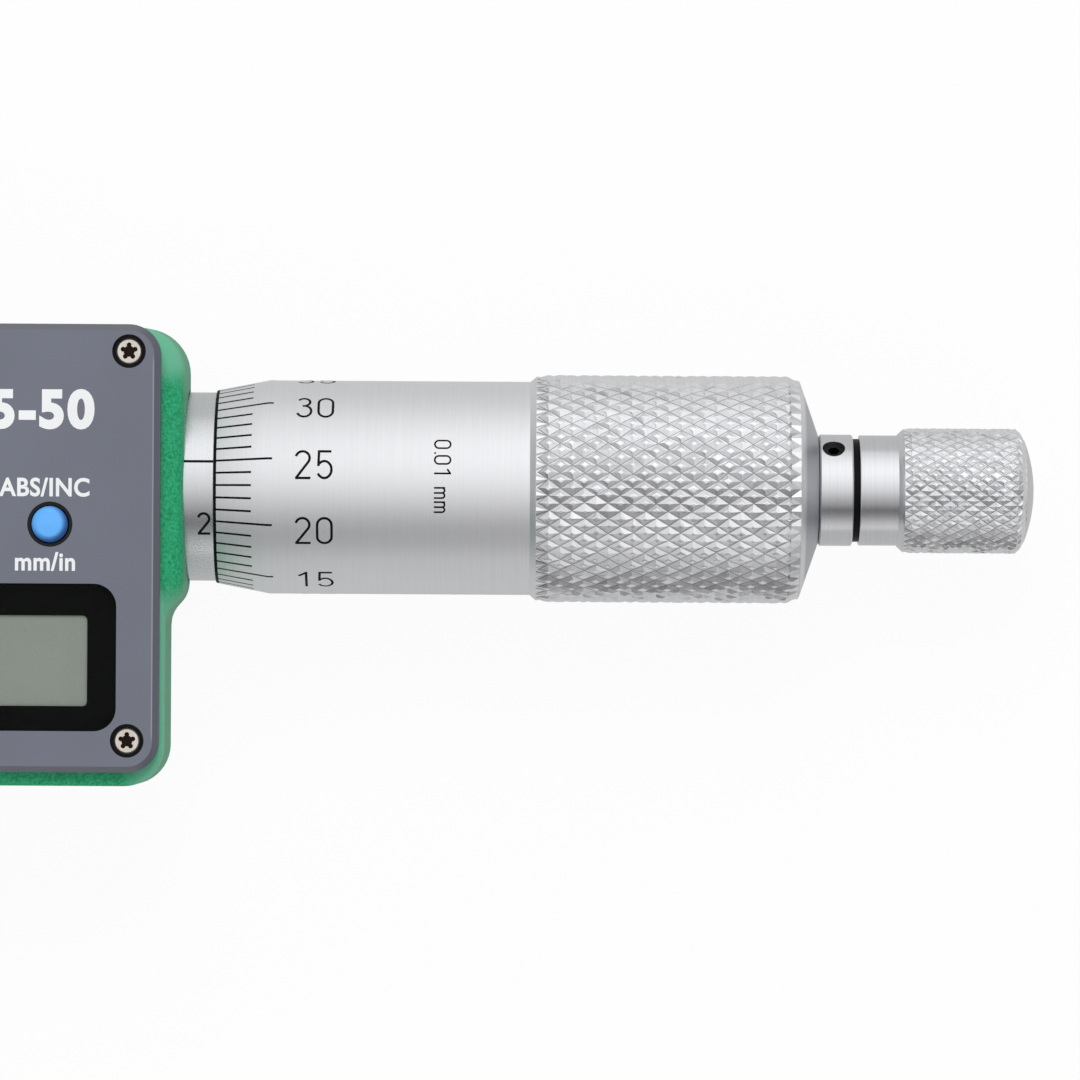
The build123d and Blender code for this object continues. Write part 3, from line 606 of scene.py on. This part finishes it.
# a ring of cut-off diamonds on a lattice of stations and half steps round the turn: where
# station + step is odd stands a crest, a flat rhombus with a bevel, and elsewhere two grooves
# cross; the crest's radius and the groove's depth are given for every station
def knurledRing(stations, crest, depth, v):
    rows, steps = len(stations), 2 * v["around"]
    random = np.random.default_rng(v["seed"])
    row, step = np.meshgrid(np.arange(rows), np.arange(steps), indexing="ij")
    pitch = np.gradient(stations)[:, None]
    wander = v["wander"] * random.standard_normal((3, rows, steps))
    wander[:, [0, -1]] = 0
    x = stations[:, None] + wander[0] * pitch
    angle = (step + wander[1]) * np.pi / v["around"]
    isCrest = (row + step) % 2 == 1
    ends = (row == 0) | (row == rows - 1)
    low = (crest - depth)[:, None] + 0 * x
    radius = np.where(isCrest & ends, crest[:, None], low)
    grid = np.stack([x, radius * np.sin(angle), radius * np.cos(angle)], 2).reshape(-1, 3)

    r, c = np.nonzero(isCrest & ~ends)
    share = v["crest"] * (1 + v["uneven"] * random.standard_normal(len(r)))
    ring = []
    for part, drop in ((1.0 + v["bevel"], v["bevelDrop"]), (1.0 - v["bevel"], 0.0)):
        for along, across in ((1, 0), (0, 1), (-1, 0), (0, -1)):
            px = x[r, c] + along * share * part * pitch[r, 0]
            pa = angle[r, c] + across * share * part * np.pi / v["around"]
            pr = np.interp(px, stations, crest) - drop
            ring.append(np.stack([px, pr * np.sin(pa), pr * np.cos(pa)], 1))
    count = len(r)
    base = len(grid) + np.arange(count)
    corner = [base + k * count for k in range(8)]
    side = [(r + 1) * steps + c, r * steps + (c + 1) % steps, (r - 1) * steps + c,
            r * steps + (c - 1) % steps]
    faces = [np.stack(corner[4:], 1)]
    for k in range(4):
        n = (k + 1) % 4
        faces.append(np.stack([corner[k], corner[n], corner[4 + n], corner[4 + k]], 1))
        faces.append(np.stack([corner[k], side[k], side[n], corner[n]], 1))

    # half diamonds at both ends, then end walls and a core under the grooves
    coreR = low.min() - v["under"]
    endR, endC = np.nonzero(isCrest & ends)
    here = endR * steps + endC
    inward = np.where(endR == 0, 1, rows - 2) * steps + endC
    up, down = endR * steps + (endC + 1) % steps, endR * steps + (endC - 1) % steps
    halves = [np.stack([here, inward, up], 1), np.stack([here, down, inward], 1)]
    turn = np.arange(steps) * np.pi / v["around"]
    cores = [np.stack([0 * turn + end, coreR * np.sin(turn), coreR * np.cos(turn)], 1)
             for end in (stations[0], stations[-1])]
    j, n = np.arange(steps), (np.arange(steps) + 1) % steps
    c0 = len(grid) + 8 * count
    c1, last = c0 + steps, (rows - 1) * steps
    walls = [np.stack([j, n, c0 + n, c0 + j], 1), np.stack([c0 + j, c0 + n, c1 + n, c1 + j], 1),
             np.stack([c1 + j, c1 + n, last + n, last + j], 1)]
    points = np.concatenate([grid, *ring, *cores])
    return points, [f for group in (*faces, *halves, *walls) for f in group.tolist()]


def addKnurl(name, ring, material, body):
    piece = addPiece(name, *ring, material, "satin_steel", body)
    closeSeams(piece.data, outward=True)
    return piece


# closed patches on a surface of revolution round X: x and the angle run over a grid, and the
# radius is a function of x, once raised by the lift and once lowered by the sink
def wrapPatches(patches, radiusAt, lift, sink, around=1):
    points, faces = [], []
    for x0, x1, a0, a1 in patches:
        s = np.linspace(0, 1, around + 1)
        angle = np.radians(a0 + (a1 - a0) * s)
        base = sum(len(p) for p in points)
        rows = []
        for x, shift in ((x0, lift), (x1, lift), (x1, -sink), (x0, -sink)):
            r = radiusAt(x) + shift
            rows.append(np.stack([np.full_like(angle, x), r * np.sin(angle),
                                  r * np.cos(angle)], 1))
        points.append(np.concatenate(rows))
        n = around + 1
        i = np.arange(around)
        for k in range(4):
            a, b = base + k * n, base + ((k + 1) % 4) * n
            faces += np.stack([a + i, a + i + 1, b + i + 1, b + i], 1).tolist()
        faces.append([base + k * n for k in (3, 2, 1, 0)])
        faces.append([base + k * n + around for k in (0, 1, 2, 3)])
    return np.concatenate(points), faces


# a flat text as a mesh, centred, its tallest part the given height
def textMesh(words, height, spacing, bold):
    curve = bpy.data.curves.new("words", "FONT")
    curve.body = words
    curve.size = 1.0
    curve.space_character = spacing
    curve.offset = bold
    curve.resolution_u = 6
    holder = bpy.data.objects.new("words", curve)
    bpy.context.scene.collection.objects.link(holder)
    bpy.context.view_layer.update()
    mesh = bpy.data.meshes.new_from_object(holder)
    bpy.data.objects.remove(holder)
    work = bmesh.new()
    work.from_mesh(mesh)
    bpy.data.meshes.remove(mesh)
    bmesh.ops.remove_doubles(work, verts=work.verts, dist=1e-5)
    spots = np.array([v.co[:] for v in work.verts])
    low, high = spots.min(0), spots.max(0)
    scale = height / (high[1] - low[1])
    middle = (low + high) / 2
    bmesh.ops.translate(work, verts=work.verts, vec=Vector((-middle[0], -middle[1], 0)))
    bmesh.ops.scale(work, verts=work.verts, vec=Vector((scale, scale, 1)))
    return work


# points on an ellipse between two angles in degrees
def arc(cx, cy, rx, ry, start, end, count=18):
    turn = np.radians(np.linspace(start, end, count))
    return np.column_stack([cx + rx * np.cos(turn), cy + ry * np.sin(turn)])


def line(*spots):
    return np.array(spots, float)


# engraver's single-line figures in a box one unit high: the strokes of each, as their middle
# lines, and how far the pen moves on
engraver = {"weight": 0.086, "advance": 0.73, "width": 0.56, "step": 0.06}
penLeft, penLow, penHigh = 0.036, 0.036, 0.964
figureStrokes = {
    "0": [np.concatenate([arc(0.28, 0.72, 0.244, 0.244, 180, 0),
                          arc(0.28, 0.28, 0.244, 0.244, 0, -180), line((penLeft, 0.72))])],
    "1": [line((0.10, 0.77), (0.37, penHigh)), line((0.36, 1.0), (0.36, 0.0))],
    "2": [np.concatenate([arc(0.27, 0.725, 0.235, 0.239, 165, -30), line((0.05, penLow))]),
          line((0.02, penLow), (0.54, penLow))],
    "3": [arc(0.27, 0.76, 0.205, 0.204, 150, -72), line((0.22, 0.556), (0.36, 0.556)),
          arc(0.275, 0.30, 0.245, 0.264, 72, -158)],
    "4": [line((0.37, 1.0), (0.04, 0.25)), line((0.02, 0.25), (0.56, 0.25)),
          line((0.41, 0.52), (0.41, 0.0))],
    "5": [line((0.51, penHigh), (0.06, penHigh)), line((0.092, 0.99), (0.075, 0.45)),
          arc(0.275, 0.33, 0.245, 0.294, 148, -152)],
    ".": [line((0.10, 0.0), (0.10, 0.11))],
    "m": [line((0.08, 0.0), (0.08, 0.66)),
          np.concatenate([arc(0.23, 0.47, 0.15, 0.16, 170, 0), line((0.38, 0.0))]),
          np.concatenate([arc(0.53, 0.47, 0.15, 0.16, 180, 0), line((0.68, 0.0))])],
    " ": []}
penMoves = {".": 0.24, "m": 0.84, " ": 0.40}


# a stroke as a flat strip: its middle line is walked in equal steps, and each point is moved
# half the weight to both sides along the normal
def strokeStrip(middle, weight):
    run = np.concatenate([[0], np.cumsum(np.linalg.norm(np.diff(middle, axis=0), axis=1))])
    walk = np.linspace(0, run[-1], max(2, int(run[-1] / engraver["step"])))
    spots = np.column_stack([np.interp(walk, run, middle[:, k]) for k in (0, 1)])
    along = np.gradient(spots, axis=0)
    along /= np.linalg.norm(along, axis=1)[:, None]
    normal = np.column_stack([-along[:, 1], along[:, 0]]) * weight / 2
    i, n = np.arange(len(spots) - 1), len(spots)
    return (np.concatenate([spots + normal, spots - normal]),
            np.stack([n + i, n + i + 1, i + 1, i], 1))


# figures in strokes as a flat mesh, centred on the origin
def strokeMesh(words, height, weight=None):
    points, faces, base, pen = [], [], 0, 0.0
    for letter in words:
        for middle in figureStrokes[letter]:
            spots, quads = strokeStrip(middle, weight or engraver["weight"])
            points.append(spots + [pen, 0])
            faces.append(quads + base)
            base += len(spots)
        pen += penMoves.get(letter, engraver["advance"])
    wide = pen - engraver["advance"] + engraver["width"]
    flat = (np.concatenate(points) - [wide / 2, 0.5]) * height
    mesh = bpy.data.meshes.new("strokes")
    mesh.from_pydata(np.column_stack([flat, 0 * flat[:, 0]]).tolist(), [],
                     np.concatenate(faces).tolist())
    work = bmesh.new()
    work.from_mesh(mesh)
    bpy.data.meshes.remove(mesh)
    return work


# takes flat points (u, v) through a place function and joins all texts into one closed mesh
def placeTexts(entries):
    allPoints, allFaces, base = [], [], 0
    for work, place in entries:
        work.verts.index_update()
        flat = np.array([v.co[:2] for v in work.verts])
        top, under = place(flat[:, 0], flat[:, 1])
        count = len(flat)
        allPoints += [top, under]
        for face in work.faces:
            ring = [v.index for v in face.verts]
            allFaces.append([base + i for i in ring])
            allFaces.append([base + count + i for i in reversed(ring)])
        for edge in work.edges:
            if len(edge.link_loops) == 1:
                loop = edge.link_loops[0]
                a, b = loop.vert.index, loop.link_loop_next.vert.index
                allFaces.append([base + b, base + a, base + count + a, base + count + b])
        base += 2 * count
        work.free()
    return np.concatenate(allPoints), allFaces


# thimble: a turned shell with a cut-off diamond knurl on its grip; x from its front edge
thimbleEdgeR = 8.12 * mm
thimbleR = 9.0 * mm
coneLength = 4.5 * mm
grip = {"around": 46, "rows": 22, "from": 26.95 * mm, "to": 49.05 * mm,
        "crestR": 9.59 * mm, "depth": 0.240 * mm, "rimR": 9.46 * mm, "rimDepth": 0.17 * mm,
        "endR": 9.22 * mm, "endDepth": 0.16 * mm, "endDip": 1.0 * mm, "grooveShadeEnd": 0.8 * mm,
        "crest": 0.25, "uneven": 0.18, "wander": 0.055, "bevel": 0.35, "bevelDrop": 0.024 * mm,
        "under": 0.05 * mm, "tuck": 0.02 * mm, "seed": 3}
thimbleShell = {"edgeRound": 0.05 * mm, "bevel": 0.52 * mm, "bevelRound": 0.04 * mm,
                "rimRound": 0.03 * mm, "tail": ((49.14, 9.10), (49.24, 8.86), (49.36, 8.50)),
                "tailR": 4.62 * mm, "tailRound": 0.08 * mm, "boreR": 8.3 * mm, "fitR": 8.0 * mm,
                "fitLength": 3.0 * mm, "boreEnd": 45.0 * mm, "seatR": 3.2 * mm}


# a cone behind the thimble's edge, then straight
def thimbleRadius(x):
    share = min(1.0, (x - edgeX) / coneLength)
    return thimbleEdgeR + (thimbleR - thimbleEdgeR) * share


def makeThimble():
    g, t = grip, thimbleShell
    core = g["crestR"] - g["depth"] - g["under"] / 2
    start, end = edgeX + g["from"], edgeX + g["to"]
    rear = thimbleHigh[0]
    corners = [
        (edgeX, t["fitR"], 0), (edgeX, thimbleEdgeR, t["edgeRound"]),
        (edgeX + coneLength, thimbleR, 0), (start - t["bevel"], thimbleR, t["bevelRound"]),
        (start, g["rimR"], t["rimRound"]), (start + g["tuck"], core, 0),
        (end - g["endDip"], core, 0),
        (end - g["tuck"], g["endR"] - g["endDepth"] - g["under"], 0), (end, g["endR"], 0),
        *[(edgeX + x * mm, r * mm, 0) for x, r in t["tail"]],
        (rear, t["tailR"], t["tailRound"]), (rear, t["seatR"], 0),
        (edgeX + t["boreEnd"], t["seatR"], 0), (edgeX + t["boreEnd"], t["boreR"], 0),
        (edgeX + t["fitLength"], t["boreR"], 0), (edgeX + t["fitLength"], t["fitR"], 0)]
    body = addTurned("thimbleBody", corners, 192, thimbleFinish, "satin_steel", "spindle",
                     steps=9)
    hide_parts("thimble")
    stations = edgeX + np.linspace(g["from"], g["to"], g["rows"] + 1)
    crest = np.full(len(stations), g["crestR"])
    depth = np.full(len(stations), g["depth"])
    crest[[0, -1]] = g["rimR"], g["endR"]
    depth[[0, -1]] = g["rimDepth"], g["endDepth"]
    steel = knurledSteel("thimbleKnurl", g["crestR"], g["depth"], end - g["grooveShadeEnd"])
    addKnurl("thimbleGrip", knurledRing(stations, crest, depth, g), steel, "spindle")


makeThimble()


# ratchet knob: smooth neck, knurl that runs over its rounded end, and a domed face
knob = {"around": 38, "rows": 15, "boreR": 3.65 * mm, "boreEnd": 11.25 * mm,
        "neck": 3.26 * mm, "neckR": 4.65 * mm, "neckRound": 0.10 * mm, "shoulder": 0.1 * mm,
        "from": 3.75 * mm, "length": 9.48 * mm, "crestR": 5.28 * mm, "depth": 0.165 * mm,
        "rimDrop": 0.09 * mm, "rimRound": 0.05 * mm, "firstDrop": 0.07 * mm,
        "rimDepth": 0.10 * mm, "taper": 0.77 * mm, "taperDrop": 1.02 * mm, "taperPower": 1.6,
        "taperRows": (0.5, 1.0), "taperShallow": 0.55, "dome": 0.8 * mm,
        "crest": 0.26, "uneven": 0.24, "wander": 0.08, "bevel": 0.40, "bevelDrop": 0.020 * mm,
        "under": 0.04 * mm, "tuck": 0.02 * mm, "endTuck": 0.05 * mm, "seed": 5}


def makeKnob():
    k = knob
    core = k["crestR"] - k["depth"] - k["under"] / 2
    knurlEnd = knobX + k["from"] + k["length"]
    end = knurlEnd + k["taper"]
    endR = k["crestR"] - k["taperDrop"]
    swell = (endR ** 2 + k["dome"] ** 2) / (2 * k["dome"])
    lean = np.linspace(math.asin(endR / swell), 0, 9)
    dome = [(end + k["dome"] - swell + swell * math.cos(a), swell * math.sin(a), 0) for a in lean]
    corners = [
        (knobX + k["boreEnd"], 0, 0), (knobX + k["boreEnd"], k["boreR"], 0),
        (knobX, k["boreR"], 0), (knobX, k["neckR"], k["neckRound"]),
        (knobX + k["neck"], k["neckR"], 0), (knobX + k["neck"], k["neckR"] + k["shoulder"], 0),
        (knobX + k["from"], k["crestR"] - k["rimDrop"], k["rimRound"]),
        (knobX + k["from"] + k["tuck"], core, 0), (knurlEnd, core, 0),
        (end - k["endTuck"], endR - k["tuck"], 0), *dome]
    body = addTurned("knobBody", corners, 152, finishes["satin_steel"], "satin_steel", "ratchet",
                     loop=False)
    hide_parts("ratchet_knob")
    stations = knobX + k["from"] + np.linspace(0, k["length"], k["rows"] + 1)
    stations = np.concatenate([stations, knurlEnd + k["taper"] * np.array(k["taperRows"])])
    share = np.clip((stations - knurlEnd) / k["taper"], 0, 1)
    crest = k["crestR"] - k["taperDrop"] * share ** k["taperPower"]
    depth = k["depth"] * (1 - k["taperShallow"] * share)
    crest[0] -= k["firstDrop"]
    depth[0] = k["rimDepth"]
    addKnurl("knobGrip", knurledRing(stations, crest, depth, k),
             knurledSteel("knobKnurl", k["crestR"], k["depth"], knurlEnd), "ratchet")


makeKnob()
print("thimble and knob turned and knurled")


# engraving on the thimble and the sleeve

dial = {
    "indexAngle": 14.9,  # of the sleeve's line, in degrees from the front toward +Y
    "reading": 24.75, "figure": 25, "divisions": 50,
    "lineWidth": 0.185 * mm, "lineStart": 0.02 * mm, "shortEnd": 3.2 * mm,
    "longEnd": 4.95 * mm, "figureX": 8.42 * mm, "figureHeight": 2.46 * mm,
    "figureDrop": 3.2, "lift": 0.006 * mm, "sink": 0.03 * mm}
# a black band on the thimble's front edge: painted shadow, drawn in black ink
rimShade = {"ahead": 0.004 * mm, "width": 0.26 * mm, "depth": 0.12 * mm, "bevel": 0.03 * mm,
           "bevelDrop": 0.02 * mm}


# the divisions are spread evenly round X, with the named figure at the sleeve's line
def divisionAngle(value):
    turn = (value - dial["figure"]) * 360 / dial["divisions"]
    return (dial["indexAngle"] + turn + 180) % 360 - 180


# wraps flat points on a turned surface: u runs along X, and v turns round it by v over the radius
def wrapText(x, angle, radiusAt, lift, sink):
    def place(u, v):
        radius = np.array([radiusAt(x + a) for a in u])
        turn = math.radians(angle) + v / radius
        return tuple(np.stack([x + u, (radius + d) * np.sin(turn),
                               (radius + d) * np.cos(turn)], 1) for d in (lift, -sink))
    return place


def engraveThimble():
    half = math.degrees(dial["lineWidth"] / 2 / thimbleR)
    patches = []
    for value in range(dial["divisions"]):
        sides = (divisionAngle(value) - half, divisionAngle(value) + half)
        if value % 5:
            patches.append((edgeX + dial["lineStart"], edgeX + dial["shortEnd"], *sides))
        else:
            patches.append((edgeX + dial["lineStart"], edgeX + coneLength, *sides))
            patches.append((edgeX + coneLength, edgeX + dial["longEnd"], *sides))
    points, faces = wrapPatches(patches, thimbleRadius, dial["lift"], dial["sink"])
    addPiece("thimbleLines", points, faces, blackPrint, "black_film", "spindle")
    # painted shadow: a black band round the thimble's front edge
    near, far = edgeX - rimShade["ahead"], edgeX + rimShade["width"]
    foot = thimbleEdgeR - rimShade["depth"]
    addTurned("thimbleRimShade", [
        (near, foot, 0), (near, thimbleEdgeR - rimShade["bevelDrop"], 0),
        (edgeX + rimShade["bevel"], thimbleEdgeR + dial["lift"], 0),
        (far, thimbleRadius(far) + dial["lift"], 0), (far, foot, 0)],
        192, blackPrint, "black_film", "spindle")
    entries = []
    for value in range(0, dial["divisions"], 5):
        work = strokeMesh(str(value), dial["figureHeight"])
        entries.append((work, wrapText(edgeX + dial["figureX"],
                                       divisionAngle(value) - dial["figureDrop"],
                                       thimbleRadius, dial["lift"], dial["sink"])))
    points, faces = placeTexts(entries)
    addPiece("thimbleFigures", points, faces, blackPrint, "black_film", "spindle")


# the sleeve's scale in mm; its line starts a little under the boss
sleeveScale = {"low": 25, "high": 50, "lineWidth": 0.215 * mm, "underBoss": 0.28 * mm,
               "beforeEnd": 1.0 * mm, "tickWidth": 0.12 * mm, "upTick": 1.2 * mm,
               "downTick": 1.6 * mm, "fiveTick": 3.0 * mm, "figureAngle": -23.4,
               "figureShift": -0.29 * mm, "figureHeight": 1.98 * mm, "weight": 0.112,
               "lift": 0.004 * mm}


def sleeveRadius(x):
    return sleeveR


# the thimble's edge stands at the reading
def sleeveX(value):
    return edgeX + (value - dial["reading"]) * mm


def engraveSleeve():
    v = sleeveScale
    index = dial["indexAngle"]
    half = math.degrees(v["lineWidth"] / 2 / sleeveR)
    patches = [(bossX - v["underBoss"], sleeveEndX - v["beforeEnd"], index - half, index + half)]
    for step in range(2 * (v["high"] - v["low"]) + 1):
        x = sleeveX(v["low"] + step / 2)
        if step % 2:
            reach = v["upTick"]
        else:
            reach = -v["fiveTick"] if step % 10 == 0 else -v["downTick"]
        a, b = sorted((index, index + math.degrees(reach / sleeveR)))
        patches.append((x - v["tickWidth"] / 2, x + v["tickWidth"] / 2, a, b))
    points, faces = wrapPatches(patches, sleeveRadius, v["lift"], dial["sink"], around=8)
    addPiece("sleeveLines", points, faces, blackPrint, "black_film", "frame")
    entries = []
    for value in range(v["low"], v["high"] + 1, 5):
        work = strokeMesh(str(value), v["figureHeight"], v["weight"])
        entries.append((work, wrapText(sleeveX(value) + v["figureShift"], v["figureAngle"],
                                       sleeveRadius, v["lift"], dial["sink"])))
    points, faces = placeTexts(entries)
    addPiece("sleeveFigures", points, faces, blackPrint, "black_film", "frame")


stepLabel = {"words": "0.01 mm", "x": edgeX + 19.15 * mm, "angle": 6.3, "height": 1.42 * mm,
             "weight": 0.105}


def engraveStep():
    v = stepLabel
    work = strokeMesh(v["words"], v["height"], v["weight"])
    bmesh.ops.rotate(work, verts=work.verts, cent=(0, 0, 0),
                     matrix=Matrix.Rotation(-math.pi / 2, 3, "Z"))
    points, faces = placeTexts([(work, wrapText(v["x"], v["angle"], thimbleRadius,
                                                dial["lift"], dial["sink"]))])
    addPiece("stepLabel", points, faces, blackPrint, "black_film", "spindle")


engraveThimble()
engraveSleeve()
engraveStep()
print("engraving done")


# lays flat points on the cover's face, u along X and v along Y
def flatText(x, y):
    def place(u, v):
        return tuple(np.stack([x + u, y + v, np.full_like(u, coverHigh[2] + d)], 1)
                     for d in (panel["lift"], -panel["sink"]))
    return place


def printPanel():
    p, r = panel, rangeLabel
    entries = []
    for words, column, row, aside in legends:
        work = textMesh(words, p["height"], p["spacing"], p["bold"])
        bmesh.ops.scale(work, verts=work.verts, vec=Vector((p["narrowing"], 1, 1)))
        x = coverMidX + column * p["keyPitch"] - aside
        entries.append((work, flatText(x, p[row])))
    work = textMesh(r["words"], r["height"], r["spacing"], r["bold"])
    wide = max(v.co.x for v in work.verts)
    entries.append((work, flatText(r["rightX"] - wide, r["y"])))
    points, faces = placeTexts(entries)
    addPiece("panelPrint", points, faces, whitePrint, "clear_pane", "frame")


printPanel()
print("legends printed")


# floor, light and camera

# low to high is how bright the metal sees the floor, rising toward +Y; past endX it is dimmer
floorLook = {"size": 6.0, "grey": 0.82, "whitened": 0.94, "edgeY": 0.06, "low": 0.54,
             "high": 0.61, "endX": (0.20, 0.30), "end": 0.50}


# white to the camera with the shadow left in it, grey to light, and dim in the metal
def addFloor():
    v = floorLook
    corners = np.array([[-1, -1], [1, -1], [1, 1], [-1, 1]]) * v["size"]
    mesh = bpy.data.meshes.new("floor")
    mesh.from_pydata([(*c, cadBox[0][2]) for c in corners.tolist()], [], [[0, 1, 2, 3]])
    material, tree = newMaterial("floorWhite")
    diffuse = addNode(tree, "ShaderNodeBsdfDiffuse", Color=(v["grey"], v["grey"], v["grey"], 1))
    glow = addNode(tree, "ShaderNodeEmission", Color=(1, 1, 1, 1), Strength=1.0)
    mirrored = addNode(tree, "ShaderNodeEmission", Color=(1, 1, 1, 1))
    x, y = addParts(tree)[:2]
    level = addSpread(tree, addStep(tree, y, -v["edgeY"], v["edgeY"]), v["low"], v["high"])
    end = addSpread(tree, addStep(tree, x, *v["endX"]), 1.0, v["end"])
    link(tree, addProduct(tree, level, end), mirrored.inputs["Strength"])
    path = addNode(tree, "ShaderNodeLightPath")
    share = addMath(tree, "MULTIPLY", path.outputs["Is Camera Ray"], v["whitened"])
    seen = addMixShader(tree, share, diffuse.outputs[0], glow.outputs[0])
    out = addNode(tree, "ShaderNodeOutputMaterial")
    link(tree, addMixShader(tree, path.outputs["Is Glossy Ray"], seen, mirrored.outputs[0]),
         out.inputs["Surface"])
    mesh.materials.append(material)
    floor = bpy.data.objects.new("floor", mesh)
    bpy.context.scene.collection.objects.link(floor)


# what the metal mirrors, by the angle round X: 0 is straight up, positive toward +Y
skyBands = [(-180, 0.76), (-90, 0.80), (-72, 0.61), (-55, 0.30), (-42, 0.12), (-30, 0.37),
            (-18, 0.52), (0, 0.84), (20, 1.08), (38, 1.22), (55, 1.18), (72, 1.0), (90, 0.80),
            (180, 0.76)]
# off to the sides the bands lie lower, and both ends are dimmer
sky = {"blue": 1.01, "sideX": (0.12, 0.45), "sideDrop": 30, "rightX": (0.15, 1.0),
       "rightLevel": 0.48, "leftX": (-0.10, -0.75), "leftLevel": 0.38, "ambient": 0.75}


def addWorld():
    v = sky
    world = bpy.data.worlds.new("studio")
    bpy.context.scene.world = world
    world.use_nodes = True
    tree = world.node_tree
    tree.nodes.clear()
    x, y, z = addParts(tree, "Generated")
    aside = addStep(tree, addMath(tree, "ABSOLUTE", x), *v["sideX"])
    drop = addSpread(tree, aside, 0.0, math.radians(v["sideDrop"]))
    share = addNode(tree, "ShaderNodeMapRange")
    share.inputs["From Min"].default_value = -math.pi
    share.inputs["From Max"].default_value = math.pi
    link(tree, addMath(tree, "ADD", addMath(tree, "ARCTAN2", y, z), drop), share.inputs["Value"])
    ramp = addNode(tree, "ShaderNodeValToRGB")
    stops = ramp.color_ramp.elements
    for i, (angle, level) in enumerate(skyBands):
        at = (angle + 180) / 360
        if i < 2:
            stop = stops[i]
            stop.position = at
        else:
            stop = stops.new(at)
        stop.color = (level, level, level * v["blue"], 1)
    link(tree, share.outputs["Result"], ramp.inputs[0])
    right = addSpread(tree, addStep(tree, x, *v["rightX"]), 1.0, v["rightLevel"])
    left = addSpread(tree, addStep(tree, x, *v["leftX"]), 1.0, v["leftLevel"])
    glossy = addNode(tree, "ShaderNodeBackground")
    link(tree, ramp.outputs["Color"], glossy.inputs["Color"])
    link(tree, addProduct(tree, right, left), glossy.inputs["Strength"])
    ambient = addNode(tree, "ShaderNodeBackground", Color=(1, 1, 1, 1), Strength=v["ambient"])
    backdrop = addNode(tree, "ShaderNodeBackground", Color=(1, 1, 1, 1), Strength=1.0)
    path = addNode(tree, "ShaderNodeLightPath")
    lit = addMixShader(tree, path.outputs["Is Glossy Ray"], ambient.outputs[0], glossy.outputs[0])
    out = addNode(tree, "ShaderNodeOutputWorld")
    link(tree, addMixShader(tree, path.outputs["Is Camera Ray"], lit, backdrop.outputs[0]),
         out.inputs["Surface"])


lampLook = {"place": (0.10, 0.45, 0.60), "aim": (0.11, 0, 0), "size": 0.45, "power": 2.2}


def addLamp():
    v = lampLook
    lamp = bpy.data.lights.new("keyLamp", "AREA")
    lamp.shape = "DISK"
    lamp.size = v["size"]
    lamp.energy = v["power"]
    holder = bpy.data.objects.new("keyLamp", lamp)
    holder.location = v["place"]
    toward = Vector(v["aim"]) - Vector(v["place"])
    holder.rotation_euler = toward.to_track_quat("-Z", "Y").to_euler()
    holder.visible_glossy = False
    bpy.context.scene.collection.objects.link(holder)


# distance and x are in pixels of the photograph, x from the boss's end
view = {"width": 1080, "distance": 7000, "x": 350, "y": -4.35 * mm, "roll": 0.34, "sensor": 36,
        "clipEnd": 20}


def addCamera():
    v = view
    lens = bpy.data.cameras.new("camera")
    lens.sensor_width = v["sensor"]
    lens.lens = v["sensor"] * v["distance"] / v["width"]
    lens.clip_end = v["clipEnd"]
    holder = bpy.data.objects.new("camera", lens)
    holder.location = (bossX + v["x"] * pixel, v["y"], v["distance"] * pixel)
    holder.rotation_euler = (0, 0, math.radians(v["roll"]))
    bpy.context.scene.collection.objects.link(holder)
    bpy.context.scene.camera = holder


addFloor()
addWorld()
addLamp()
addCamera()
bpy.context.scene.view_settings.view_transform = "Standard"
print("stage set")
